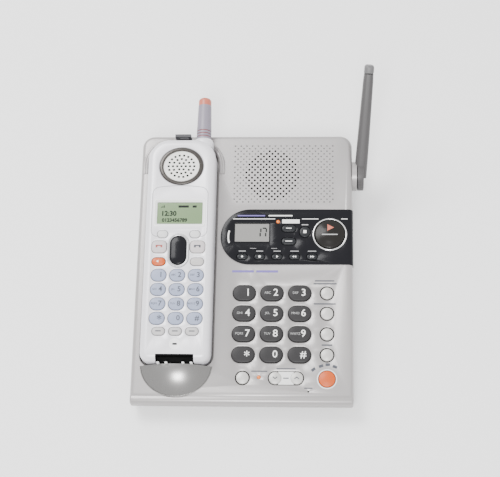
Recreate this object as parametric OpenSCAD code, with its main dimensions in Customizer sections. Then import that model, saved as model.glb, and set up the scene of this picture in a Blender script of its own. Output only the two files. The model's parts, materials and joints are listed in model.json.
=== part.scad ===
// Cordless telephone: a sloping desk base with a dial, an answering system and
// a swivelling antenna, and the handset that lies in the base's charging cradle.
// Millimetres. +X is the user's right, +Y points away from the user, +Z is up.
// The origin is on the desk, under the middle of the whole set.

/* [Base] */
// Width of the base
base_w = 180; // [176:1:220]
// Length of the sloping top, front to rear
face_len = 230; // [226:1:280]
// Height of the top's front edge above the desk
front_h = 22; // [21:1:28]
// Slope of the top, in degrees
face_tilt = 8; // [6:0.5:10]
// Radius of the rear corners, seen from above
corner_r = 10; // [8:1:14]
// Rounding along the top's edges
rim_r = 4; // [3:0.5:5]
// Thickness of the casing walls
wall = 2.5; // [2.25:0.25:3]
// Height of the rubber feet under the bottom cover
foot_h = 2.5; // [2:0.5:4]

/* [Handset] */
// Width of the handset
handset_w = 57; // [55:1:60]
// Thickness of the handset
handset_thick = 26; // [25:0.5:28]
// Slope of the docked handset over the top's own slope, in degrees
dock_tilt = 1.5; // [0:0.5:2]
// Gap between the handset and the cradle's walls
dock_gap = 1.6; // [1.2:0.1:2]
// Thickness of the handset's walls
shell = 2; // [1.8:0.1:2.4]

/* [Keys] */
// Length of a dial key, across the base
dial_key_w = 18.6; // [16:0.2:19]
// Depth of a dial key, front to rear
dial_key_l = 13.3; // [12:0.1:13.8]
// Diameter of the round keys beside the dial
round_key_d = 10.2; // [9:0.2:12]
// How far a key goes down
key_travel = 1.2; // [0.8:0.1:1.3]
// Gap round a key in its opening
key_gap = 0.4; // [0.3:0.05:0.5]
// How far a key's top stands above the casing
key_rise = 1.8; // [1.2:0.1:2.2]

/* [Antenna] */
// Length of the base's antenna, from its pivot to its tip
antenna_len = 98; // [80:1:120]
// Angle between the antenna and the desk as it stands, in degrees
antenna_rest = 45; // [20:1:70]
// Lean of the blade away from the base, in degrees
antenna_lean = 4; // [2:0.5:6]
// Radius of the antenna's pivot disc
hub_r = 12.5; // [10:0.5:13]
// Radius of the pivot pin
pin_r = 3; // [2.5:0.5:4]
// Running clearance between the pin and the antenna's bore
pin_gap = 0.05; // [0.02:0.01:0.1]

/* [Hidden] */
$fn = 48;
eps = 0.05;
big = 400;

// Casing of the base
base_d = face_len * cos(face_tilt);
rear_h = front_h + face_len * sin(face_tilt);
split_z = foot_h + 6.5;
lip_out = 4.5;
lip_h = 11;
plinth_inset = 1.5;

// Cradle: the handset's tail lies at tail_s, and its back seat_depth below the base's top
handset_x = 36.7 - base_w / 2;
tail_s = 27;
seat_depth = 11;
handset_len = face_len - 38;
head_r = 18;
tail_r = 9;
edge_r = 7;
end_r = 9;
seat_gap = 0.4;
rim_wall = 5;
rim_rise = 6;
dome_r = 29;
dome_rise = 9.7;

// Dial and round keys: distances from the right side and from the front edge
dial_dx = 22.8;
dial_ds = 17.35;
round_x = base_w / 2 - 21.3;
dial_x = round_x - 67.9;
dial_s = 35.6;
bottom_row_s = 16.4;
speaker_key_d = 13.4;
volume_half = 8.7;

// Answering panel, on the rear half of the top
panel_s = face_len - 93.1;
panel_r = 24.4;
panel_x = base_w / 2 - 85.7;
panel_rise = 0.6;
panel_sink = 1.5;
panel_wrap = 9;
window = [30.4, 17.6];
window_at = [panel_x + 1.8, panel_s + 3.6];
message_at = [panel_x + 66.7, panel_s + 1.9];
message_r = 12.4;
ring_r = 14.4;
small_keys_s = panel_s - 17.7;
small_key = [8.8, 4.6];

// Loudspeaker behind its field of holes
grille_at = [base_w / 2 - 67.8, face_len - 37.2];
grille_r = 23;
hole_pitch = 4.9;
speaker_r = 26;

// Printed circuit of the base, parallel to the sloping top
board_h = -9;
board_t = 1.6;
flange = 1;
flange_h = -wall - 0.3;
stem_h = board_h + 0.55 + key_travel + 0.25;

// Screws, feet and wall hooks of the base
screw_at = [
    [-base_w / 2 + 10, 10], [base_w / 2 - 10, 10],
    [-base_w / 2 + 12, base_d - 14], [base_w / 2 - 12, base_d - 14]
];
screw_r = 1.5;
screw_len = 12;
foot_r = 7;
foot_inset = [18, 24];
keyhole_pitch = 83;
keyhole_r = 4.2;
keyhole_slot = 2.2;

// Sockets in the rear wall
socket_z = 22;
line_x = 20;
power_x = 52;
jack_depth = 13;

// Antenna's hinge, on the right side wall
pivot_y = base_d - 30.8;
pivot_z = 36;
mount_t = 4;
hub_gap = 0.4;
hub_t = 5.6;
hub_x = base_w / 2 + mount_t + hub_gap;
blade_x = hub_x + hub_t / 2;
blade_root = [10.4, 13];
blade_tip = [7.6, 9];

// Middle of the whole set, seen from above
centre_x = (blade_x + antenna_len * sin(antenna_lean) + blade_tip[0] / 2 - base_w / 2) / 2;
centre_y = (pivot_y + antenna_len * cos(antenna_rest) + 1.5 - lip_out) / 2;

// Handset: distances along it are measured from the head, heights from its back
split_t = 13;
ear_t = 25.2;
ear_r = 15;
ear_ring_r = 18.7;
ear_squash = 0.9;
lcd_t = 66.7;
lcd = [handset_w - 19, 19.2];
soft_key_t = 85.5;
soft_key = [8.6, 6.2];
pad_dx = (handset_w - 26.4) / 2;
talk_t = 96.5;
talk_key_size = [pad_dx - 3.1, 10.4];
nav_t = 99.6;
nav_size = [pad_dx - 2.3, 24.4];
speaker_row_t = 109.2;
wide_key = [pad_dx - 4.3, 6.6];
pad_t = 120.8;
pad_dt = 12.1;
pad_key = [pad_dx - 2.8, 10.2];
function_t = 167.8;
function_dx = pad_dx - 1.7;
function_key = [pad_dx - 4.9, 6.6];
talk_x = pad_dx + 0.5;
soft_x = pad_dx - 1.9;
pad_rise = 1.2;
pad_travel = 0.8;
pad_gap = 0.35;
skin_z = handset_thick - shell;
web_t = 0.8;
web_z = skin_z - 1.3 - web_t;
web_half = handset_w / 2 - shell - 2;
nib_r = 1;
volume_pivot_h = -4.2;
pcb_z = skin_z - 7;
pcb_t = 1.2;
stub_x = handset_w / 2 - 11.5;
stub_z = 14;
stub_len = 41;
stub_r = [6.6, 5.3];
lamp_len = 7.5;

// Battery bay and its door, in the handset's back
door = [36, 60];
door_t = 1.6;
door_from = 22;
door_slide = 6;
cell_r = 5.2;
cell_len = 44.5;
bay = [34, 50];
bay_from = 26;
contact_x = 10.1;
contact_recess = [30.8, 3, 18];
handset_screw_at = [
    [9.5 - handset_w / 2, 10], [handset_w / 2 - 9.5, 10],
    [-stub_x, handset_len - 48], [stub_x, handset_len - 48]
];

// ---- Frames ----

module on_desk(x = 0, y = 0, z = 0)
    translate([x - centre_x, y - centre_y, z]) children();

// x across, s up the slope from its front edge, h out of the sloping top
module on_face(x = 0, s = 0, h = 0)
    on_desk(0, 0, front_h) rotate([face_tilt, 0, 0]) translate([x, s, h]) children();

// x across, t from the tail towards the head, z from the handset's back
module on_handset(x = 0, t = 0, z = 0)
    on_face(handset_x, tail_s, -seat_depth)
        rotate([dock_tilt, 0, 0]) translate([x, t, z]) children();

// The same, with t counted from the head
module from_head(x = 0, t = 0, z = 0)
    on_handset(x, handset_len - t, z) children();

// ---- Outlines ----

module rounded_rect(w, l, r) {
    square([w - 2 * r, l], center = true);
    square([w, l - 2 * r], center = true);
    for (sx = [-1, 1], sy = [-1, 1])
        translate([sx * (w / 2 - r), sy * (l / 2 - r)]) circle(r);
}

module stadium(w, l) {
    r = min(w, l) / 2;
    square([max(w - 2 * r, eps), max(l - (w > l ? 0 : 2 * r), eps)], center = true);
    for (e = [-1, 1])
        translate(w > l ? [e * (w / 2 - r), 0] : [0, e * (l / 2 - r)]) circle(r);
}

// ---- Forms shared by several sub-parts ----

// Plan of the base: square front corners, round rear corners
module footprint(inset) {
    translate([0, base_d / 2])
        rounded_rect(base_w - 2 * inset, base_d - 2 * inset, max(corner_r - inset, 1));
    translate([inset - base_w / 2, inset]) square([base_w - 2 * inset, 2 * corner_r]);
}

// The base as a solid wedge, its walls and top drawn in by the inset
module wedge(inset) {
    edge = max(rim_r - inset, 0.5);
    intersection() {
        on_desk() linear_extrude(rear_h + 5) footprint(inset);
        on_face(0, -30, -big / 2 - inset) rotate([-90, 0, 0])
            linear_extrude(face_len + 60) rounded_rect(base_w - 2 * inset, big, edge);
        on_face(-base_w, face_len / 2 - 15, -big / 2 - inset) rotate([90, 0, 90])
            linear_extrude(2 * base_w) rounded_rect(face_len + 30 - 2 * inset, big, edge);
    }
}

// Plan of the handset: wide head corners, tighter tail corners
module handset_plan(grow) {
    w = handset_w + 2 * grow;
    l = handset_len + 2 * grow;
    intersection() {
        rounded_rect(w, l, head_r + grow);
        translate([-w, 0]) square([2 * w, l]);
    }
    intersection() {
        rounded_rect(w, l, tail_r + grow);
        translate([-w, -l]) square([2 * w, l + eps]);
    }
}

// The handset as a solid bar with rounded edges, drawn in by the inset
module bar(inset) {
    thick = handset_thick - 2 * inset;
    intersection() {
        on_handset(0, handset_len / 2, inset) linear_extrude(thick) handset_plan(-inset);
        on_handset(0, -1, handset_thick / 2) rotate([-90, 0, 0]) linear_extrude(handset_len + 2)
            rounded_rect(handset_w - 2 * inset, thick, edge_r - inset);
        on_handset(-handset_w, handset_len / 2, handset_thick / 2) rotate([90, 0, 90])
            linear_extrude(2 * handset_w)
                rounded_rect(handset_len - 2 * inset, thick, end_r - inset);
    }
}

// Space that the docked handset takes up in the base, open upwards
module cradle_space() {
    on_handset(0, handset_len / 2, -seat_gap) linear_extrude(60) handset_plan(dock_gap);
    from_head(stub_x, -dock_gap, -seat_gap + 4) translate([0, 20, 30])
        cube([2 * stub_r[0] + 3, 60, 60], center = true);
}

// A key in the base: a cap, a flange under the casing and a plunger above the board
module base_key(x, s, rise) {
    on_face(x, s, flange_h - flange + eps) linear_extrude(rise - flange_h + flange - eps) children(0);
    on_face(x, s, flange_h - flange) linear_extrude(flange) children(1);
    on_face(x, s, stem_h) cylinder(r = 2, h = flange_h - stem_h - eps);
}

module dial_key(column, row) {
    color("dimgray") base_key(dial_x + column * dial_dx, dial_s + (3 - row) * dial_ds, key_rise) {
        stadium(dial_key_w, dial_key_l);
        stadium(dial_key_w + 2 * flange, dial_key_l + 2 * flange);
    }
}

module round_key(x, s, d, tint) {
    color(tint) base_key(x, s, key_rise - 0.4) {
        circle(d = d);
        circle(d = d + 2 * flange);
    }
}

module panel_key(x, s, w, l, rise) {
    color("#202224") base_key(x, s, panel_rise + rise) {
        stadium(w, l);
        stadium(w + 1.4 * flange, l + 1.4 * flange);
    }
}

module small_panel_key(place)
    panel_key(panel_x - 6 + place * 14.5, small_keys_s, small_key[0], small_key[1], 0.5);

// ---- Openings in the top of the base ----

// Round and stadium openings under the keys, each a key_gap wider than its key
module key_openings() {
    for (column = [0:2], row = [0:3])
        on_face(dial_x + column * dial_dx, dial_s + row * dial_ds, -20)
            linear_extrude(40) stadium(dial_key_w + 2 * key_gap, dial_key_l + 2 * key_gap);
    for (row = [0:3])
        on_face(round_x, dial_s + row * dial_ds, -20) cylinder(d = round_key_d + 2 * key_gap, h = 40);
    on_face(dial_x, bottom_row_s, -20) cylinder(d = round_key_d + 2 * key_gap, h = 40);
    on_face(round_x, bottom_row_s - 0.5, -20) cylinder(d = speaker_key_d + 2 * key_gap, h = 40);
    on_face(dial_x + 35, bottom_row_s, -20) linear_extrude(40) volume_outline(2 * key_gap);
}

module panel_openings() {
    on_face(message_at[0], message_at[1], -20) cylinder(r = message_r + key_gap, h = 40);
    for (key = [0:4])
        on_face(panel_x - 6 + key * 14.5, small_keys_s, -20) linear_extrude(40)
            stadium(small_key[0] + 2 * key_gap, small_key[1] + 2 * key_gap);
    on_face(panel_x + 32.6, panel_s + 7.2, -20) linear_extrude(40)
        stadium(12 + 2 * key_gap, 6 + 2 * key_gap);
    on_face(panel_x + 32.6, panel_s - 4.2, -20) linear_extrude(40)
        stadium(12 + 2 * key_gap, 6 + 2 * key_gap);
    on_face(panel_x + 46, panel_s + 4.2, -20) linear_extrude(40)
        stadium(9 + 2 * key_gap, 9.6 + 2 * key_gap);
    on_face(panel_x + 23.5, panel_s + 13.3, -20) cylinder(r = 1.6, h = 40);
}

module volume_outline(grow) {
    for (side = [-1, 1]) translate([side * volume_half, 0]) circle(d = round_key_d + grow);
    square([2 * volume_half, 5 + grow], center = true);
}

// Outline of the answering panel: a round left end, straight to beyond the right side
module panel_outline() {
    circle(r = panel_r);
    translate([0, -panel_r]) square([base_w, 2 * panel_r]);
}

module panel_prism(from_h, height)
    on_face(panel_x, panel_s, from_h) linear_extrude(height) panel_outline();

// ---- Base ----

module base_top_cover() {
    color("silver") difference() {
        union() {
            intersection() {
                difference() {
                    wedge(0);
                    wedge(wall);
                }
                on_desk(0, 0, split_z + big / 2) cube(big * 2, center = true);
            }
            front_lip();
            cradle_rim();
            cradle_dome();
            cradle_tub();
            screw_bosses();
            speaker_collar();
        }
        on_desk(0, 0, split_z - big) cube([big * 2, big * 2, big * 2], center = true);
        cradle_space();
        key_openings();
        panel_openings();
        difference() {
            panel_prism(-panel_wrap, 30);
            wedge(panel_sink);
        }
        on_face(window_at[0], window_at[1], -20) linear_extrude(40) square(window, center = true);
        speaker_holes();
        on_face(dial_x + 13.2, bottom_row_s + 0.7, -10) cylinder(r = 1.5 + eps, h = 20);
        on_face(dial_x + 53, 3.4, -10) cylinder(r = 0.7, h = 20);
        for (at = screw_at)
            on_desk(at[0], at[1], split_z - 1) cylinder(r = screw_r + eps, h = screw_len - 1);
        socket_openings();
        contact_slots();
        on_handset(0, handset_len + dock_gap + rim_wall / 2, 4) hook_block(2 * eps, 30);
        on_desk(base_w / 2 - wall - 1, pivot_y, pivot_z) rotate([0, 90, 0])
            cylinder(r = pin_r + 2, h = wall + 2);
    }
}

module front_lip() {
    on_desk(0, 0, front_h - lip_h / 2 - 0.5) rotate([90, 0, 90]) translate([0, 0, -base_w / 2])
        linear_extrude(base_w) rounded_rect(2 * lip_out, lip_h, lip_out - 0.5);
}

// Raised rim round the handset's head, fading out towards the keys
module cradle_rim() {
    intersection() {
        on_face(handset_x, tail_s + handset_len / 2, -wall) linear_extrude(wall + rim_rise)
            handset_plan(dock_gap + rim_wall);
        on_face(handset_x, face_len - 45, -wall) rotate([10, 0, 0]) translate([-60, 0, -big])
            cube([120, big, big]);
        on_desk(0, base_d / 2) linear_extrude(2 * rear_h) square([base_w - 2, base_d], center = true);
    }
}

// Low round dome in front of the handset's tail
module cradle_dome() {
    sphere_r = (dome_r * dome_r + dome_rise * dome_rise) / (2 * dome_rise);
    on_face(handset_x, tail_s) rotate_extrude($fn = 96) intersection() {
        translate([0, dome_rise - sphere_r]) circle(sphere_r, $fn = 180);
        translate([0, -wall / 2]) square([dome_r - 0.6, 2 * dome_rise]);
    }
}

// Walls and floor of the cradle, hanging under the sloping top
module cradle_tub() {
    intersection() {
        wedge(0.5);
        on_handset(0, handset_len / 2, -seat_gap - 2) linear_extrude(60) handset_plan(dock_gap + 2);
    }
}

module screw_bosses() {
    intersection() {
        wedge(0.5);
        for (at = screw_at) on_desk(at[0], at[1], split_z) cylinder(r = 4, h = 60);
    }
}

module speaker_collar() {
    intersection() {
        wedge(0.5);
        on_face(grille_at[0], grille_at[1], -wall - 4) difference() {
            cylinder(r = speaker_r + 2, h = 6);
            translate([0, 0, -1]) cylinder(r = speaker_r + 0.3, h = 5);
        }
    }
}

// Holes on a square lattice turned by 45 degrees, inside the grille's circle
module speaker_holes() {
    steps = floor(grille_r / hole_pitch);
    for (i = [-steps:steps], j = [-steps:steps])
        if (norm([i, j]) * hole_pitch < grille_r)
            on_face(grille_at[0] + i * hole_pitch, grille_at[1] + j * hole_pitch, -wall - 1)
                cylinder(r = 0.9, h = wall + 2, $fn = 16);
}

module socket_openings() {
    on_desk(line_x, base_d, socket_z) cube([14.4, 4 * wall, 13.4], center = true);
    on_desk(power_x, base_d - 2 * wall, socket_z) rotate([-90, 0, 0])
        cylinder(r = 4.5 + eps, h = 4 * wall);
}

module contact_slots() {
    for (side = [-1, 1])
        on_handset(side * contact_x, -dock_gap - 2, 5) cube([3.2, 6, 4.4], center = true);
}

module base_bottom_cover() {
    color("gainsboro") difference() {
        union() {
            on_desk(0, 0, foot_h) linear_extrude(wall) footprint(plinth_inset);
            on_desk(0, 0, foot_h) linear_extrude(split_z - foot_h) difference() {
                footprint(plinth_inset);
                footprint(plinth_inset + wall);
            }
            for (at = screw_at)
                on_desk(at[0], at[1], foot_h) cylinder(r = 4.5, h = split_z - foot_h);
        }
        for (at = screw_at) {
            on_desk(at[0], at[1], 0) cylinder(r = screw_r + 0.2, h = 20);
            on_desk(at[0], at[1], foot_h - 1) cylinder(r = 3.2, h = 3.5);
        }
        for (sx = [-1, 1], at = foot_rows())
            on_desk(sx * (base_w / 2 - foot_inset[0]), at, foot_h - 1) cylinder(r = foot_r + eps, h = 1.8);
        for (end = [-1, 1]) on_desk(0, base_d / 2 + end * keyhole_pitch / 2, 0) {
            cylinder(r = keyhole_r, h = 20);
            translate([-keyhole_slot, 0, 0]) cube([2 * keyhole_slot, 9, 20]);
            translate([0, 9, 0]) cylinder(r = keyhole_slot, h = 20);
        }
        for (i = [-4:4])
            on_desk(grille_at[0] + 5 * i, base_d - 60, foot_h - 1) linear_extrude(10) stadium(2, 26);
    }
}

function foot_rows() = [foot_inset[1], base_d - foot_inset[1] - 6];

module answering_panel() {
    color("#141618") difference() {
        union() {
            intersection() {
                panel_prism(-panel_wrap, 30);
                difference() {
                    wedge(-panel_rise);
                    wedge(panel_sink);
                }
            }
            on_face(message_at[0], message_at[1], 0) cylinder(r = ring_r, h = panel_rise + 1);
        }
        panel_openings();
        on_face(window_at[0], window_at[1], -20) linear_extrude(40) square(window, center = true);
    }
}

module base_display_window() {
    color("#a9b2a8", 0.5) on_face(window_at[0], window_at[1], -panel_sink)
        linear_extrude(panel_sink + panel_rise)
            square([window[0] - 2 * eps, window[1] - 2 * eps], center = true);
}

module base_circuit_board() {
    left = handset_x + handset_w / 2 + dock_gap + 4;
    right = base_w / 2 - wall - 4;
    top_s = face_len - 70;
    color("#2f6b3c") {
        difference() {
            on_face(left, 9, board_h - board_t) cube([right - left, top_s - 9, board_t]);
            for (at = screw_at) on_desk(at[0], at[1], 0) cylinder(r = 5, h = 60);
        }
        on_face(left + 8, 70, board_h - board_t - 4) cube([34, 24, 4]);
        on_face(left + 60, 100, board_h - board_t - 3) cube([16, 16, 3]);
        on_face(window_at[0], window_at[1], (board_h - panel_sink - 0.4) / 2)
            cube([window[0] - 0.6, window[1] - 0.6, -board_h - panel_sink - 0.4], center = true);
        contact_pads();
    }
}

// Snap domes on the board, one under each key
module contact_pads() {
    for (column = [0:3], row = [0:3])
        on_face(column == 3 ? round_x : dial_x + column * dial_dx, dial_s + row * dial_ds, board_h)
            cylinder(r = 2.5, h = 0.5);
    for (x = [dial_x, round_x, dial_x + 35 - volume_half, dial_x + 35 + volume_half])
        on_face(x, bottom_row_s, board_h) cylinder(r = 2, h = 0.5);
    for (key = [0:4])
        on_face(panel_x - 6 + key * 14.5, small_keys_s, board_h) cylinder(r = 2, h = 0.5);
}

// Cone, basket and magnet turned about one axis
module loudspeaker() {
    color("#3a3a3c") on_face(grille_at[0], grille_at[1], -wall - 0.1) rotate_extrude()
        polygon([
            [0, -8], [10, -8], [22, -1.5], [speaker_r - 2, -1.5], [speaker_r - 2, 0], [speaker_r, 0],
            [speaker_r, -3], [15, -12], [14, -12], [14, -18], [0, -18]
        ]);
}

// Spring blades that reach through the cradle's front wall
module base_charge_contacts() {
    color("gold") for (side = [-1, 1]) {
        on_handset(side * contact_x - 1.5, -dock_gap - 4.4, 3)
            cube([3, dock_gap + 4.4 + contact_recess[1] - 1, 4]);
        on_handset(side * contact_x - 1.5, -dock_gap - 4.4, -3) cube([3, 0.8, 7]);
    }
}

module line_jack() {
    color("#3b3d40") difference() {
        on_desk(line_x, base_d - jack_depth / 2 - 0.1, socket_z)
            cube([14.2, jack_depth, 13.2], center = true);
        on_desk(line_x, base_d - 5.5, socket_z - 0.6) cube([9.8, 12, 7], center = true);
        on_desk(line_x, base_d - 5.5, socket_z + 3.6) cube([6.2, 12, 3], center = true);
    }
}

module power_jack() {
    color("#222426") {
        difference() {
            union() {
                on_desk(power_x, base_d - 0.1 - jack_depth, socket_z) rotate([-90, 0, 0])
                    cylinder(r = 4.5, h = jack_depth);
                on_desk(power_x, base_d - jack_depth / 2 - wall - 0.3, socket_z)
                    cube([10, jack_depth - 1, 11], center = true);
            }
            on_desk(power_x, base_d - 10.1, socket_z) rotate([-90, 0, 0]) cylinder(r = 2.85, h = 20);
        }
        on_desk(power_x, base_d - 10.2, socket_z) rotate([-90, 0, 0]) cylinder(r = 1, h = 9);
    }
}

module rubber_feet() {
    color("#2a2a2a") for (sx = [-1, 1], at = foot_rows())
        on_desk(sx * (base_w / 2 - foot_inset[0]), at) cylinder(r = foot_r, h = foot_h + 0.8);
}

module base_screws() {
    color("lightgray") for (at = screw_at) on_desk(at[0], at[1], foot_h + 0.5) {
        difference() {
            cylinder(r = 3, h = 2);
            cube([4, 0.8, 1.6], center = true);
            cube([0.8, 4, 1.6], center = true);
        }
        cylinder(r = screw_r, h = screw_len);
    }
}

// Light pipes of the charge lamp and the answering lamp
module lamp_lenses() {
    color("orange") {
        on_face(dial_x + 13.2, bottom_row_s + 0.7, board_h + 0.2) cylinder(r = 1.5, h = 0.3 - board_h);
        on_face(panel_x + 23.5, panel_s + 13.3, board_h + 0.2)
            cylinder(r = 1.5, h = panel_rise + 0.3 - board_h);
    }
}

// Boss on the side wall with the fixed pin that the antenna turns on
module antenna_mount() {
    color("silver") on_desk(base_w / 2, pivot_y, pivot_z) rotate([0, 90, 0]) {
        cylinder(r = hub_r, h = mount_t);
        translate([0, 0, -wall - 1]) cylinder(r = pin_r + 1.9, h = wall + 1 + eps);
        cylinder(r = pin_r, h = mount_t + hub_gap + hub_t - 1);
    }
}

// Tab at the head of the cradle, with a window, that keeps a hung-up handset in place
module cradle_hook() {
    color("#55565a") on_handset(0, handset_len + dock_gap + rim_wall / 2, 4) difference() {
        hook_block(0, 18);
        translate([0, 0, 14.5]) cube([9, 10, 3.4], center = true);
    }
}

module hook_block(grow, height)
    translate([-6.7 - grow / 2, -1.2 - grow / 2, -grow]) cube([13.4 + grow, 2.4 + grow, height + grow]);

// ---- Antenna of the base ----

// Blade with round ends, tapering along its length in both directions
module base_antenna() {
    color("#77757a") on_desk(blade_x, pivot_y, pivot_z) rotate([antenna_rest, 0, 0]) difference() {
        union() {
            translate([-hub_t / 2, 0, 0]) rotate([0, 90, 0]) cylinder(r = hub_r - 0.3, h = hub_t);
            intersection() {
                rotate([0, 0, -antenna_lean]) antenna_blade();
                translate([-hub_t / 2, -hub_r, -hub_r]) cube([60, 2 * antenna_len, 2 * hub_r]);
            }
        }
        translate([hub_t / 2 - 1 + pin_gap, 0, 0]) rotate([0, -90, 0])
            cylinder(r = pin_r + pin_gap, h = 2 * hub_t);
    }
}

module antenna_blade() {
    intersection() {
        linear_extrude(40, center = true) taper(blade_root[0], blade_tip[0], 1.5);
        rotate([0, 90, 0]) linear_extrude(40, center = true) taper(blade_root[1], blade_tip[1], 4);
    }
}

// Long trapezium from the pivot to the tip, with round tip corners
module taper(root, tip, tip_r) {
    polygon([
        [-root / 2, 0], [root / 2, 0],
        [tip / 2, antenna_len - tip_r], [-tip / 2, antenna_len - tip_r]
    ]);
    translate([0, antenna_len - tip_r]) {
        square([tip - 2 * tip_r, 2 * tip_r], center = true);
        for (side = [-1, 1]) translate([side * (tip / 2 - tip_r), 0]) circle(tip_r);
    }
}

// ---- Keys of the base ----

// Rocker of two round pads and a bridge, on nibs that point to the front and rear
module volume_key() {
    low = flange_h - 2.8;
    color("silver") {
        on_face(dial_x + 35, bottom_row_s, low) linear_extrude(key_rise - 0.4 - low) intersection() {
            volume_outline(0);
            square([60, 30], center = true);
        }
        on_face(dial_x + 35, bottom_row_s, low - 1) linear_extrude(1 + eps) volume_outline(2 * flange);
        on_face(dial_x + 35, bottom_row_s, board_h + 0.8) cylinder(r = 1.5, h = low - 1 - board_h);
        on_face(dial_x + 35, bottom_row_s - 4, volume_pivot_h) rotate([-90, 0, 0])
            cylinder(r = nib_r, h = 8);
    }
}

module message_key() {
    sphere_r = 30;
    cap_h = sphere_r - sqrt(sphere_r * sphere_r - message_r * message_r);
    color("#26282c") {
        on_face(message_at[0], message_at[1], flange_h - flange)
            cylinder(r = message_r, h = panel_rise + 1.4 - flange_h + flange);
        on_face(message_at[0], message_at[1], flange_h - flange)
            cylinder(r = message_r + flange, h = flange);
        on_face(message_at[0], message_at[1], stem_h) cylinder(r = 3, h = flange_h - stem_h);
        intersection() {
            on_face(message_at[0], message_at[1], panel_rise + 1.4 + cap_h - sphere_r)
                sphere(sphere_r, $fn = 96);
            on_face(message_at[0], message_at[1], panel_rise) cylinder(r = message_r, h = 10);
        }
    }
}

// ---- Handset ----

module handset_front_shell() {
    color("silver") difference() {
        union() {
            intersection() {
                difference() {
                    bar(0);
                    bar(shell);
                }
                on_handset(-60, -10, split_t) cube([120, handset_len + 20, 60]);
            }
            intersection() {
                bar(0.5);
                for (at = handset_screw_at) on_handset(at[0], at[1], split_t) cylinder(r = 3, h = 30);
            }
        }
        from_head(0, ear_t, handset_thick - 6) scale([1, ear_squash, 1])
            cylinder(r = ear_ring_r + eps, h = 12);
        from_head(0, lcd_t, handset_thick - 6) linear_extrude(12) square(lcd, center = true);
        handset_key_openings();
        from_head(0, 178, skin_z - 1) linear_extrude(8) stadium(4, 1.6);
        on_handset(0, 0, -1) translate([-contact_recess[0] / 2, -1, 0])
            cube([contact_recess[0], contact_recess[1] + 1, contact_recess[2] + 1]);
        for (at = handset_screw_at)
            on_handset(at[0], at[1], split_t - 1) cylinder(r = 1.1 + eps, h = 9);
        stub_socket(eps);
    }
    color("silver") tail_ribs(split_t, contact_recess[2] + eps);
}

// Four guide ribs between the charging contacts, within the tail's recess
module tail_ribs(from_z, to_z) {
    for (x = [-13.4, -6.8, 6.8, 13.4])
        on_handset(x - 0.7, 0.8, from_z) cube([1.4, contact_recess[1], to_z - from_z]);
}

module handset_key_openings() {
    grow = 2 * pad_gap;
    for (column = [-1:1], row = [0:3])
        key_cut(column * pad_dx, pad_t + row * pad_dt) stadium(pad_key[0] + grow, pad_key[1] + grow);
    for (column = [-1:1])
        key_cut(column * function_dx, function_t)
            stadium(function_key[0] + grow, function_key[1] + grow);
    for (side = [-1, 1]) {
        key_cut(side * soft_x, soft_key_t) stadium(soft_key[0] + grow, soft_key[1] + grow);
        key_cut(side * talk_x, talk_t)
            rounded_rect(talk_key_size[0] + grow, talk_key_size[1] + grow, 3.5 + pad_gap);
        key_cut(side * talk_x, speaker_row_t) stadium(wide_key[0] + grow, wide_key[1] + grow);
    }
    key_cut(0, nav_t) stadium(nav_size[0] + grow + 0.3, nav_size[1] + grow + 0.3);
}

module key_cut(x, t)
    from_head(x, t, skin_z - 2) linear_extrude(10) children();

module stub_socket(grow)
    from_head(stub_x, 8, stub_z) rotate([-90, 0, 0]) cylinder(r = 5 + grow, h = 20);

module handset_rear_shell() {
    color("silver") difference() {
        union() {
            intersection() {
                difference() {
                    bar(0);
                    bar(shell);
                }
                on_handset(-60, -10, -10) cube([120, handset_len + 20, split_t + 10]);
            }
            on_handset(-bay[0] / 2 - 1, bay_from - 1, 1) cube([bay[0] + 2, bay[1] + 2, split_t]);
            intersection() {
                bar(0.5);
                for (at = handset_screw_at) on_handset(at[0], at[1], 0) cylinder(r = 3.6, h = split_t);
            }
        }
        on_handset(-bay[0] / 2, bay_from, -1) cube([bay[0], bay[1], split_t + 1]);
        on_handset(-door[0] / 2 - 0.2, door_from - door_slide - 0.3, -1)
            cube([door[0] + 0.4, door[1] + door_slide + 0.5, door_t + 1.2]);
        on_handset(0, 0, -1) translate([-contact_recess[0] / 2, -1, 0])
            cube([contact_recess[0], contact_recess[1] + 1, contact_recess[2] + 1]);
        for (at = handset_screw_at) {
            on_handset(at[0], at[1], -1) cylinder(r = 1.3, h = 20);
            on_handset(at[0], at[1], -1) cylinder(r = 2.8, h = 4);
        }
        stub_socket(eps);
    }
    color("silver") intersection() {
        bar(0);
        tail_ribs(0, split_t);
    }
}

// Sliding door with finger grooves at its tail end
module battery_door() {
    color("silver") difference() {
        on_handset(-door[0] / 2, door_from, 0.1) cube([door[0], door[1], door_t - 0.1]);
        for (i = [0:4]) on_handset(-8, door_from + 4 + 2.5 * i, -0.4) cube([16, 1, 1]);
    }
}

module battery_pack() {
    color("#3f7fbf") {
        for (cell = [-1:1])
            on_handset(cell * (2 * cell_r + 0.2), bay_from + 2, cell_r + door_t + 0.8) rotate([-90, 0, 0])
                cylinder(r = cell_r, h = cell_len);
        on_handset(-2 * cell_r, bay_from + 2.5, cell_r + door_t - 2.2)
            cube([4 * cell_r, cell_len - 1, 6]);
    }
}

module earpiece_grille() {
    color("#b9bac0") difference() {
        union() {
            from_head(0, ear_t, handset_thick - 3) scale([1, ear_squash, 1])
                cylinder(r = ear_ring_r, h = 3.4);
            from_head(0, ear_t, handset_thick - 3) scale([1, ear_squash, 1])
                cylinder(r = ear_ring_r - 0.8, h = 4.4);
        }
        from_head(0, ear_t, handset_thick - 0.6) scale([1, ear_squash, 1])
            cylinder(r = ear_r, h = 12);
        for (ring = [0:3], i = [0:max(6 * ring - 1, 0)])
            from_head(0, ear_t, handset_thick - 4) rotate([0, 0, 60 * i / max(ring, 1)])
                translate([3.9 * ring * ear_squash, 0, 0]) cylinder(r = 0.8, h = 12, $fn = 16);
    }
}

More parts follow.
